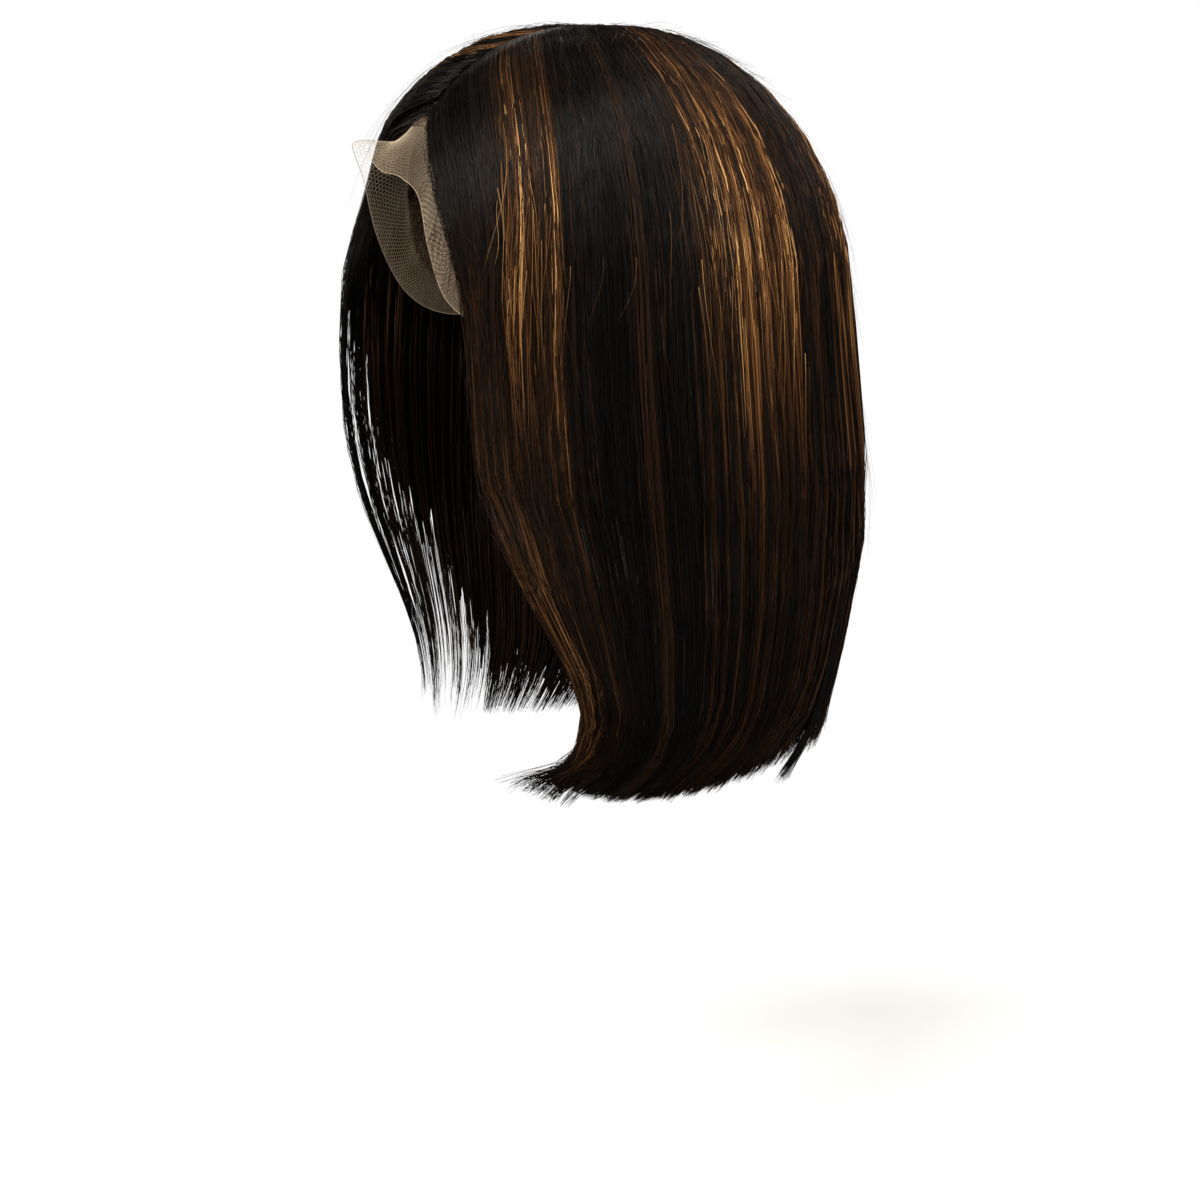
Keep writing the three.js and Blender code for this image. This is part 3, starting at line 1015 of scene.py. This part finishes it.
# %% [markdown]
# ## Thirteen sections of hair
# A style says how a section is cut and combed: how thick its wisps are, how they crowd, gather, sway,
# stray, fray and flick, how uneven and how much longer the tips are, how far the core reaches at the
# first and the last turn of the section, and how ragged it ends. Each section then has one row, with
# the turns that it spans, its locks, its number of strands, its dye and its style. The left side gets
# more strands because it is seen closely. The hair in front of the right ear is thin, with light
# between its wisps, so it has fewer strands and a short core.

# %% Styles
STYLE_COLUMNS = "clump crowd wisp gather sway stray fray flick uneven longer core_first core_last ragged"
STYLES = {
    "front": (1.0, 1.0, 0.42, 0.30, 0.6, 1.6, 1.2, 2, 0.06, 0.8, 1.96, 1.96, 0.2),
    "tufted": (1.0, 1.0, 0.42, 0.30, 0.6, 2.2, 1.2, 3, 0.06, 0.8, 1.96, 1.96, 0.2),
    "smooth": (1.0, 1.0, 0.50, 0.35, 0.6, 1.6, 1.0, 0, 0.06, 0.8, 1.97, 1.97, 0.1),
    "combed": (1.0, 1.0, 0.50, 0.35, 0.6, 2.2, 1.0, 0, 0.06, 0.8, 1.97, 1.97, 0.1),
    "back": (1.0, 1.0, 0.60, 0.35, 0.6, 1.2, 1.2, 0, 0.10, 0.8, 1.93, 1.93, 0.2),
    "spiky": (1.0, 1.0, 0.60, 0.35, 0.6, 1.2, 1.2, 0, 0.06, 0.8, 1.95, 1.95, 0.2),
    "easing": (1.0, 1.0, 0.60, 0.35, 0.6, 1.2, 1.2, 0, 0.16, 0.8, 1.93, 1.86, 0.6),
    "thin": (1.4, 1.8, 1.20, 0.55, 1.0, 0.6, 2.5, 0, 0.50, 2.0, 1.86, 1.45, 1.4),
    "sparse": (1.6, 1.0, 1.30, 0.60, 1.0, 0.7, 2.5, 0, 0.70, 2.0, 1.45, 1.10, 2.0),
    "wispy": (1.6, 1.0, 1.30, 0.55, 1.0, 0.9, 2.5, 0, 0.70, 2.0, 1.10, 0.90, 1.5),
}
print("styles:", len(STYLES))

# %% Sections
SECTION_COLUMNS = "node start end locks strands slot band ground brown style"
SECTION_ROWS = [
    ("hair_left_front", -62, -53, 1, 800, "dark_hair", "front_brown", "front_black", 0.45, "front"),
    ("highlight_left_front", -53, -39, 2, 1000, "caramel_hair", "front_band", "front_under", 0.08, "tufted"),
    ("hair_left_side", -39, -1, 3, 1440, "dark_hair", "brown", "black", 0.08, "smooth"),
    ("highlight_left_side", -1, 28, 3, 1420, "caramel_hair", "side_band", "side_under", 0.06, "combed"),
    ("hair_left_back", 28, 44, 1, 620, "dark_hair", "brown", "black", 0.32, "spiky"),
    ("highlight_left_back", 44, 60, 1, 600, "caramel_hair", "back_band", "black", 0.08, "back"),
    # hair_back takes the back band for the painted sheen streaks on its outline and for a few caramel wisps
    ("hair_back", 60, 120, 5, 900, "dark_hair", "back_band", "black", 0.02, "back"),
    ("highlight_right_back", 120, 136, 1, 340, "caramel_hair", "back_band", "black", 0.06, "back"),
    ("hair_right_back", 136, 152, 1, 360, "dark_hair", "brown", "black", 0.06, "back"),
    ("highlight_right_side", 152, 181, 3, 540, "caramel_hair", "side_band", "side_under", 0.06, "easing"),
    ("hair_right_side", 181, 219, 3, 460, "dark_hair", "brown", "black", 0.35, "thin"),
    ("highlight_right_front", 219, 233, 2, 240, "caramel_hair", "far_band", "black", 0.20, "sparse"),
    ("hair_right_front", 233, 242, 1, 150, "dark_hair", "brown", "black", 0.35, "wispy"),
]
SECTIONS = [dict(zip(SECTION_COLUMNS.split(), row)) for row in SECTION_ROWS]
for section in SECTIONS:
    section.update(zip(STYLE_COLUMNS.split(), STYLES[section["style"]]))
print("strands planned:", sum(section["strands"] for section in SECTIONS))

# %% [markdown]
# ## Layers of one section
# The outer layer runs from the part to the hem and carries the dye. The middle and inner layers fill
# the depth, so that the hair looks full from below. Short strands close the hem. Two extra layers
# make the tuft at the front corner of the hem and the single lock at its back corner. On the thin
# right side the strands are finer, and short root strands cover the lace beside the part.

# %% Layers
LAYER_COLUMNS = "amount per_wisp sink share start steps radius dye"


def layer_of(*values):
    return dict(zip(LAYER_COLUMNS.split(), values))


OUTER = layer_of(0.74, 5, (0, 1.6), (0, 0.04), (0, 0.04), DOWN_STEPS, 0.18, 1)
MIDDLE = layer_of(0.08, 8, (0.6, 1.5), (0.2, 0.6), (0.35, 0.85), SHORT_STEPS, 0.24, 0.5)
INNER = layer_of(0.16, 2, (0, 0.4), (0.75, 1.0), (0.85, 1.15), SHORT_STEPS, 0.24, 0.5)
# least keeps the inner strands brown: partly the brown of the far hair, partly a painted lift of the dim
# inside of the wig
INNER.update(least=0.7, gather=0.2)
HEM = layer_of(0.32, 4, (0.2, 2), (0, 0.8), (1.4, 1.65), TIP_STEPS, 0.24, 0.4)
HEM.update(gather=0.05)
TUFT = layer_of(0.34, 16, (0, 1.2), (0, 0.5), (1.0, 1.4), SHORT_STEPS, 0.2, 0.3)
TUFT.update(gather=0.8, flick=7.5, longer=6)
BACK_LOCK = dict(TUFT, amount=0.2, per_wisp=110, wisp=6, longer=8, turns=(45, 48))
ROOTS = dict(OUTER, amount=0.75, steps=SHORT_STEPS, end=0.7)
FINE_OUTER = dict(OUTER, radius=0.13)
FINE_INNER = dict(INNER, radius=0.16)
FINE_HEM = dict(HEM, radius=0.16)
FULL_LAYERS = (OUTER, MIDDLE, INNER, HEM)
LAYERS = {
    "tufted": (*FULL_LAYERS, TUFT),
    "spiky": (*FULL_LAYERS, BACK_LOCK),
    "thin": (FINE_OUTER, FINE_INNER, FINE_HEM, ROOTS),
    "sparse": (FINE_OUTER, FINE_INNER, ROOTS),
    "wispy": (FINE_OUTER, ROOTS),
}
print("layers of a full section:", len(FULL_LAYERS))

# %% Build the hair
def add_object(name, mesh):
    piece = bpy.data.objects.new(name, mesh)
    scene.collection.objects.link(piece)
    return piece


def join_pieces(first, second):
    with bpy.context.temp_override(active_object=first, selected_editable_objects=[first, second]):
        bpy.ops.object.join()
    return first


def hair_section(section):
    layers = LAYERS.get(section["style"], FULL_LAYERS)
    bundles = [layer_bundle(section, layer) for layer in layers]
    name = section["node"] + "_strands"
    piece = add_object(name, strand_mesh(name, bundles))
    piece = join_pieces(piece, add_object("core", core_mesh(section)))
    piece.data.materials.clear()
    piece.data.materials.append(HAIR_FINISH[section["slot"]])
    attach(piece, "root")
    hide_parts(section["node"])
    return piece


def triangles(piece):
    return sum(len(face.vertices) - 2 for face in piece.data.polygons)


hair = [hair_section(section) for section in SECTIONS]
for piece in hair:
    print(piece.name, triangles(piece), "triangles")

# %% [markdown]
# ## The lace front
# The lace is a hexagonal net, so fine that its threads are thinner than hair. Where it shows past
# the hair, every thread is a small prism. Under the hair the same lace is one thin sheet whose net
# is drawn in the material, because nobody can look between its threads there.

# %% Lace form
lace_at = smooth_table(
    "ear hairline edge flare",
    [
        (-76, 96, 112, 0.4),
        (-52, 74, 88, 3),
        (-40, 58, 70, 8),
        (-31, 49, 58, 14),
        (-25, 46, 53.5, 21),
        (-18, 45, 56, 10),
        (-9, 45, 59, 5.5),
        (0, 45.5, 60, 3),
        (8, 48, 64, 0.8),
        (14, 52, 75, 0.4),
        (20, 58, 86, 0.3),
        (40, 70, 95, 0.2),
        (76, 96, 112, 0.2),
    ],
)
LACE_SEAM = -4.8
LACE_EAR = 76
LACE_MIDDLE = 0.5


def cap_direction(ear, forward):
    ear, forward = np.radians(ear), np.radians(forward)
    level = np.cos(ear)
    return np.stack([np.sin(ear), -level * np.sin(forward), level * np.cos(forward)], axis=-1)


def lace_point(ear, forward, lift=0):
    lace = lace_at(ear)
    past = np.clip((forward - lace["hairline"]) / (lace["edge"] - lace["hairline"]), 0, None)
    stand_off = np.maximum(lace["flare"], 0) * ease(past)
    return off_head(cap_direction(ear, forward), stand_off + LACE_MIDDLE + lift)


print("flap tip:", lace_point(np.array([-25.0]), np.array([53.5])).round(1))

# %% Net threads
CELL = 1.2
THREAD_RADIUS = 0.06
NET_DEPTH = 24
NET_LENGTH = 130
UNDER_HAIR = 3
EAR_MM_PER_DEGREE = 1.75
FORWARD_MM_PER_DEGREE = 1.85
LEAST_LEVEL = 0.25


def forward_millimetres(ear):
    return FORWARD_MM_PER_DEGREE * np.maximum(np.cos(np.radians(ear)), LEAST_LEVEL)


def net_back(ear):
    lace = lace_at(ear)
    reach = NET_DEPTH / forward_millimetres(ear)
    return np.maximum(lace["hairline"] - UNDER_HAIR, lace["edge"] - reach)


def hexagon_net(width, depth, cell):
    radius = cell / math.sqrt(3)
    columns = int(width / (cell / 2)) + 1
    rows = int(depth / (1.5 * radius)) + 1
    column, row = np.meshgrid(np.arange(columns), np.arange(rows), indexing="ij")
    raised = (column + row) % 2
    x = column * cell / 2 - width / 2
    y = row * 1.5 * radius + raised * radius / 2
    index = np.arange(columns * rows).reshape(columns, rows)
    beside = np.stack([index[:-1], index[1:]], axis=-1).reshape(-1, 2)
    above = np.stack([index[:, :-1], index[:, 1:]], axis=-1)[raised[:, :-1] == 1]
    return np.stack([x.ravel(), y.ravel()], axis=-1), np.vstack([beside, above])


def lace_threads():
    width = 2 * LACE_EAR * EAR_MM_PER_DEGREE
    flat, threads = hexagon_net(width, NET_LENGTH, CELL)
    ear = np.clip(flat[:, 0] / EAR_MM_PER_DEGREE, -LACE_EAR, LACE_EAR)
    forward = lace_at(ear)["edge"] - flat[:, 1] / forward_millimetres(ear)
    kept = forward >= net_back(ear)
    threads = threads[kept[threads].all(axis=1)]
    return lace_point(ear, forward)[threads]


def thread_bundle(paths, radius):
    radii = np.full(paths.shape[:2], radius)
    tone = np.zeros(paths.shape[:2])
    lot = np.zeros(len(paths), int)
    return paths, radii, tone, lot, tone


net_paths = lace_threads()
print("net threads:", len(net_paths))

# %% [markdown]
# ## Lace finish
# The lace is a warm tan. Its threads vary a little in tone, and the sheet part has the same net
# drawn on it: a Voronoi pattern's distance to edge gives cells with thin walls, which colour and
# bump share. Between the threads the dark hair roots show through, so the cells are dark brown.

# %% Net pattern
CELL_RANDOMNESS = 0.8
THREAD_CORE = 0.06
THREAD_FADE = 0.2


def net_group():
    group = bpy.data.node_groups.new("net_pattern", "ShaderNodeTree")
    sockets = group.interface
    sockets.new_socket("Cells per metre", in_out="INPUT", socket_type="NodeSocketFloat")
    sockets.new_socket("Thread", in_out="INPUT", socket_type="NodeSocketColor")
    sockets.new_socket("Cell", in_out="INPUT", socket_type="NodeSocketColor")
    sockets.new_socket("Colour", in_out="OUTPUT", socket_type="NodeSocketColor")
    sockets.new_socket("Height", in_out="OUTPUT", socket_type="NodeSocketFloat")
    nodes, links = group.nodes, group.links
    taken = nodes.new("NodeGroupInput")
    given = nodes.new("NodeGroupOutput")
    place = nodes.new("ShaderNodeTexCoord")
    cells = nodes.new("ShaderNodeTexVoronoi")
    cells.feature = "DISTANCE_TO_EDGE"
    cells.inputs["Randomness"].default_value = CELL_RANDOMNESS
    wall = nodes.new("ShaderNodeMapRange")
    wall.interpolation_type = "SMOOTHSTEP"
    wall.inputs["From Min"].default_value = THREAD_CORE
    wall.inputs["From Max"].default_value = THREAD_FADE
    wall.inputs["To Min"].default_value = 1
    wall.inputs["To Max"].default_value = 0
    paint = nodes.new("ShaderNodeMix")
    paint.data_type = "RGBA"
    links.new(place.outputs["Object"], cells.inputs["Vector"])
    links.new(taken.outputs["Cells per metre"], cells.inputs["Scale"])
    links.new(cells.outputs["Distance"], wall.inputs["Value"])
    links.new(wall.outputs["Result"], paint.inputs["Factor"])
    links.new(taken.outputs["Cell"], paint.inputs["A"])
    links.new(taken.outputs["Thread"], paint.inputs["B"])
    links.new(paint.outputs["Result"], given.inputs["Colour"])
    links.new(wall.outputs["Result"], given.inputs["Height"])
    return group


net_pattern = net_group()
print("net pattern:", net_pattern.name)

# %% Lace and cap finishes
NET_SPECULAR = 0.2
NET_BUMP = 0.6
NET_RELIEF = 0.0003
SHEET_TAN = (0.24, 0.165, 0.105)
SHEET_CELL = (0.030, 0.020, 0.014)
CAP_THREAD = (0.075, 0.062, 0.052)
CAP_CELL = (0.011, 0.009, 0.008)


def net_material(name, cells_per_metre, thread, cell, roughness):
    material = bpy.data.materials.new(name)
    material.use_nodes = True
    nodes, links = material.node_tree.nodes, material.node_tree.links
    shader = nodes["Principled BSDF"]
    shader.inputs["Roughness"].default_value = roughness
    shader.inputs["Specular IOR Level"].default_value = NET_SPECULAR
    net = nodes.new("ShaderNodeGroup")
    net.node_tree = net_pattern
    net.inputs["Cells per metre"].default_value = cells_per_metre
    net.inputs["Thread"].default_value = (*thread, 1)
    net.inputs["Cell"].default_value = (*cell, 1)
    bump = nodes.new("ShaderNodeBump")
    bump.inputs["Strength"].default_value = NET_BUMP
    bump.inputs["Distance"].default_value = NET_RELIEF
    links.new(net.outputs["Colour"], shader.inputs["Base Color"])
    links.new(net.outputs["Height"], bump.inputs["Height"])
    links.new(bump.outputs["Normal"], shader.inputs["Normal"])
    return material


lace_sheet_finish = net_material(
    "lace_under_hair", cells_per_metre=800, thread=SHEET_TAN, cell=SHEET_CELL, roughness=0.75
)
cap_finish = net_material(
    "dark_stretch_net", cells_per_metre=480, thread=CAP_THREAD, cell=CAP_CELL, roughness=0.7
)
print("net finishes:", lace_sheet_finish.name, cap_finish.name)

# %% Thread finish
THREAD_ROUGHNESS = 0.7
THREAD_SPECULAR = 0.25
THREAD_CLOUDS_PER_METRE = 90
THREAD_STOPS = [
    # place, colour
    (0.35, (0.60, 0.46, 0.30)),
    (0.65, (0.74, 0.59, 0.42)),
]


def thread_material(name):
    material = bpy.data.materials.new(name)
    material.use_nodes = True
    nodes, links = material.node_tree.nodes, material.node_tree.links
    shader = nodes["Principled BSDF"]
    shader.inputs["Roughness"].default_value = THREAD_ROUGHNESS
    shader.inputs["Specular IOR Level"].default_value = THREAD_SPECULAR
    place = nodes.new("ShaderNodeTexCoord")
    cloud = nodes.new("ShaderNodeTexNoise")
    cloud.inputs["Scale"].default_value = THREAD_CLOUDS_PER_METRE
    ramp = nodes.new("ShaderNodeValToRGB")
    for stop, (position, colour) in zip(ramp.color_ramp.elements, THREAD_STOPS):
        stop.position = position
        stop.color = (*colour, 1)
    links.new(place.outputs["Object"], cloud.inputs["Vector"])
    links.new(cloud.outputs["Fac"], ramp.inputs["Fac"])
    links.new(ramp.outputs["Color"], shader.inputs["Base Color"])
    return material


lace_thread_finish = thread_material("lace_thread")
print("thread finish:", lace_thread_finish.name)

# %% [markdown]
# ## The lace sheet and its threads in one piece
# The sheet is a grid that is bent to the head and given a thickness. The net starts a little before
# the sheet ends, so no gap shows. A slightly thicker thread runs along the free edge.

# %% Lace piece
LACE_COLUMNS = 96
LACE_ROWS = 28
LACE_WALL = 0.35
EDGE_RADIUS = 0.12
EDGE_POINTS = 240
NET_OVERLAP = 0.8


def lace_sheet_place(across, up, outward):
    ear = blend(-LACE_EAR, LACE_EAR, across)
    forward = blend(net_back(ear) + NET_OVERLAP, LACE_SEAM, up)
    return lace_point(ear, forward, LACE_WALL * (outward - 0.5))


def edge_path():
    ear = np.linspace(-LACE_EAR, LACE_EAR, EDGE_POINTS)
    return lace_point(ear, lace_at(ear)["edge"])[None]


def lace_piece():
    sheet = bent_wall("lace_front_net", LACE_COLUMNS, LACE_ROWS, lace_sheet_place)
    sheet.materials.append(lace_sheet_finish)
    piece = add_object("lace_front_net", sheet)
    bundles = [thread_bundle(net_paths, THREAD_RADIUS), thread_bundle(edge_path(), EDGE_RADIUS)]
    threads = strand_mesh("lace_threads", bundles)
    threads.attributes.remove(threads.attributes["strand_tone"])
    threads.materials.append(lace_thread_finish)
    piece = join_pieces(piece, add_object("lace_threads", threads))
    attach(piece, "root")
    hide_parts("lace_front")
    return piece


lace = lace_piece()
print(lace.name, triangles(lace), "triangles")

# %% [markdown]
# ## The cap
# The closed back of the base is a stretch net that grips the head. It is nearly hidden, so it is one
# bent sheet with a rolled hem at the nape. Its lower edge is a table like the others.

# %% Cap piece
cap_at = smooth_table(
    "ear edge",
    [(-76, -130), (-48, -125), (-24, -122), (0, -124), (24, -122), (48, -125), (76, -130)],
)
CAP_COLUMNS = 60
CAP_ROWS = 40
CAP_SEAM = -5.2
CAP_MIDDLE = 0.6
CAP_WALL = 0.8
HEM_RADIUS = 0.9
HEM_POINTS = 120
HEM_INSET = 0.01


def cap_place(across, up, outward):
    ear = blend(-LACE_EAR, LACE_EAR, across)
    forward = blend(CAP_SEAM, cap_at(ear)["edge"], up)
    return off_head(cap_direction(ear, forward), CAP_MIDDLE + CAP_WALL * (outward - 0.5))


def cap_hem_path():
    across = np.linspace(HEM_INSET, 1 - HEM_INSET, HEM_POINTS)
    return cap_place(across, np.full_like(across, 1 - HEM_INSET), np.full_like(across, 0.5))[None]


def cap_piece():
    sheet = bent_wall("cap_net", CAP_COLUMNS, CAP_ROWS, cap_place)
    sheet.materials.append(cap_finish)
    piece = add_object("cap_net", sheet)
    hem = strand_mesh("cap_hem", [thread_bundle(cap_hem_path(), HEM_RADIUS)])
    hem.attributes.remove(hem.attributes["strand_tone"])
    hem.materials.append(cap_finish)
    piece = join_pieces(piece, add_object("cap_hem", hem))
    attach(piece, "root")
    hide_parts("cap")
    return piece


cap = cap_piece()
print(cap.name, triangles(cap), "triangles")

# %% [markdown]
# ## Loose hairs
# No comb catches every hair. A few single strands leave the surface along the crown and the back,
# some cross the combed lines, and soft short hairs grow out at the edge of the lace. Most of them are
# finer than the rest, and all are kept as one piece.

# %% Flyaways
LOOSE_STEPS = np.linspace(0, 1, 10)
LOOSE_BEND_LATE = 1.5
LOOSE_RIPPLE = 0.4
LOOSE_RIPPLE_PACE = 0.8
LOOSE_CURVE = (0.8, 2.5)
LOOSE_LIFT = 0.2
LOOSE_THINNING = 0.6
LOOSE_ROWS = [
    # count, turns, starts, lengths, stand, wander, radius, strengths
    (290, (-60, 240), (0.02, 0.3), (0.06, 0.25), (0.5, 4.5), 14, 0.07, (0.02, 0.3)),
    (110, (30, 110), (0.3, 1.6), (0.08, 0.25), (0.3, 3.5), 5, 0.055, (0.02, 0.25)),
    (100, (-58, 40), (0.3, 1.4), (0.15, 0.45), (0.0, 0.6), 6, 0.065, (0.1, 0.7)),
    (30, (-54, -36), (0.35, 1.1), (0.2, 0.5), (0.0, 0.8), 5, 0.075, (0.5, 1.0)),
    (30, (-6, 30), (0.35, 1.1), (0.2, 0.5), (0.0, 0.8), 5, 0.075, (0.5, 1.0)),
    (40, (-63, -58), (0.6, 1.5), (0.15, 0.4), (-0.6, 1.0), 5, 0.07, (0.05, 0.4)),
]


def strand_draws(count):
    def draw(low, high):
        return chance.uniform(low, high, (count, 1))

    return draw


def loose_bundle(count, turns, starts, lengths, stand, wander, radius, strengths):
    draw = strand_draws(count)
    start = draw(*starts)
    down = np.clip(start + draw(*lengths) * LOOSE_STEPS, 0, 2)
    centre = draw(*turns)
    bend = draw(-1, 1) * wander * LOOSE_STEPS**LOOSE_BEND_LATE
    turn = centre + bend + LOOSE_RIPPLE * wave(LOOSE_STEPS, LOOSE_RIPPLE_PACE, draw(0, 1))
    rise = draw(*stand) * LOOSE_STEPS ** draw(*LOOSE_CURVE)
    paths = hair_point(turn, down, -LOOSE_LIFT - rise, np.zeros_like(down))
    radii = np.broadcast_to(radius * (1 - LOOSE_THINNING * LOOSE_STEPS), down.shape)
    lot = lot_of(chance.uniform(*strengths, count))
    tone = tone_of(lot[:, None], down, "front_band", "black")
    return paths, radii, tone, lot, down


flyaways = [loose_bundle(*row) for row in LOOSE_ROWS]
print("flyaways:", sum(len(bundle[0]) for bundle in flyaways))

# %% [markdown]
# ## Hairline
# Hair is knotted along the whole front edge of the lace. On the right it sweeps up and over to join
# the far front lock, so it closes the space under that lock. On the left only soft short hairs lie
# on the lace. A point that would dip into the head is pushed out again.

# %% Hairline strands
HAIRLINE_BEHIND = (0, 3)
HAIRLINE_LIFT = 0.6
HAIRLINE_CLEARANCE = 1.4
HAIRLINE_START = 0.03
HAIRLINE_ENDS = (0.75, 1.25)
HAIRLINE_SPREAD = (-1.5, 1.5)
HAIRLINE_SINK = (0.8, 3)
HAIRLINE_SHARE = (0, 0.9)
HAIRLINE_RADIUS = 0.14
HAIRLINE_TAPER = (0.8, 1)
HAIRLINE_THINNING = 0.6
HAIRLINE_DYE = (0, 0.12)


def keep_off_head(points, clearance):
    from_centre = points + (0, 0, HEAD_CROWN_HEIGHT)
    direction = unit(from_centre)
    reach = np.linalg.norm(from_centre, axis=-1)
    return off_head(direction, np.maximum(reach - head_reach(direction), clearance))


def hairline_bundle(count, ears, turns, joins):
    draw = strand_draws(count)
    luck = draw(0, 1)
    ear = blend(*ears, luck)
    forward = lace_at(ear)["hairline"] - draw(*HAIRLINE_BEHIND)
    root = lace_point(ear, forward, HAIRLINE_LIFT)
    end = draw(*HAIRLINE_ENDS)
    down = HAIRLINE_START + (end - HAIRLINE_START) * LOOSE_STEPS
    turn = blend(*turns, luck) + draw(*HAIRLINE_SPREAD)
    path = hair_point(turn, down, draw(*HAIRLINE_SINK), draw(*HAIRLINE_SHARE))
    join = ease(down, 0, draw(*joins))
    paths = keep_off_head(blend(root, path, join[..., None]), HAIRLINE_CLEARANCE)
    taper = 1 - HAIRLINE_THINNING * ease(LOOSE_STEPS, *HAIRLINE_TAPER)
    radii = HAIRLINE_RADIUS * taper * np.ones_like(down)
    lot = lot_of(chance.uniform(*HAIRLINE_DYE, count))
    tone = tone_of(lot[:, None], down, "brown", "black")
    return paths, radii, tone, lot, down


hairline = [
    hairline_bundle(300, ears=(5, -44), turns=(242, 224), joins=(0.15, 0.45)),
    hairline_bundle(90, ears=(-2, 6), turns=(-60, -62), joins=(0.1, 0.3)),
]
print("hairline strands:", sum(len(bundle[0]) for bundle in hairline))

# %% Short hairs on the lace
SHORT_ROOT = (0, 0.7)
SHORT_CURL = (-5, 3)
SHORT_LIFT = 0.5
SHORT_RISE = 1.2
SHORT_RADIUS = 0.075
SHORT_THINNING = 0.5
SHORT_DYE = (0.3, 0.8)


def short_hair_bundle(count, ears, lengths):
    draw = strand_draws(count)
    ear = draw(*ears)
    lace = lace_at(ear)
    start = blend(lace["hairline"], lace["edge"], draw(*SHORT_ROOT))
    forward = start + draw(*lengths) * LOOSE_STEPS
    curl = draw(*SHORT_CURL) * LOOSE_STEPS**2
    paths = lace_point(ear + curl, forward, SHORT_LIFT + SHORT_RISE * LOOSE_STEPS)
    radii = SHORT_RADIUS * (1 - SHORT_THINNING * LOOSE_STEPS) * np.ones_like(forward)
    lot = lot_of(chance.uniform(*SHORT_DYE, count))
    down = np.broadcast_to(LOOSE_STEPS, forward.shape)
    tone = tone_of(lot[:, None], down, "front_brown", "front_black")
    return paths, radii, tone, lot, down


short_hairs = [short_hair_bundle(80, ears=(9, 30), lengths=(6, 18))]
loose_mesh = strand_mesh("loose_hairs", flyaways + hairline + short_hairs)
loose_mesh.materials.append(HAIR_FINISH["dark_hair"])
loose_hairs = add_object("loose_hairs", loose_mesh)
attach(loose_hairs, "root")
print(loose_hairs.name, triangles(loose_hairs), "triangles")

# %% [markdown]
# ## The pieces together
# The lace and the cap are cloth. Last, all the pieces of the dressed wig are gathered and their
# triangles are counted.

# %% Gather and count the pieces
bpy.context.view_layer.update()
pieces = [*hair, lace, cap, loose_hairs]
print("pieces:", len(pieces), "triangles:", sum(triangles(piece) for piece in pieces))
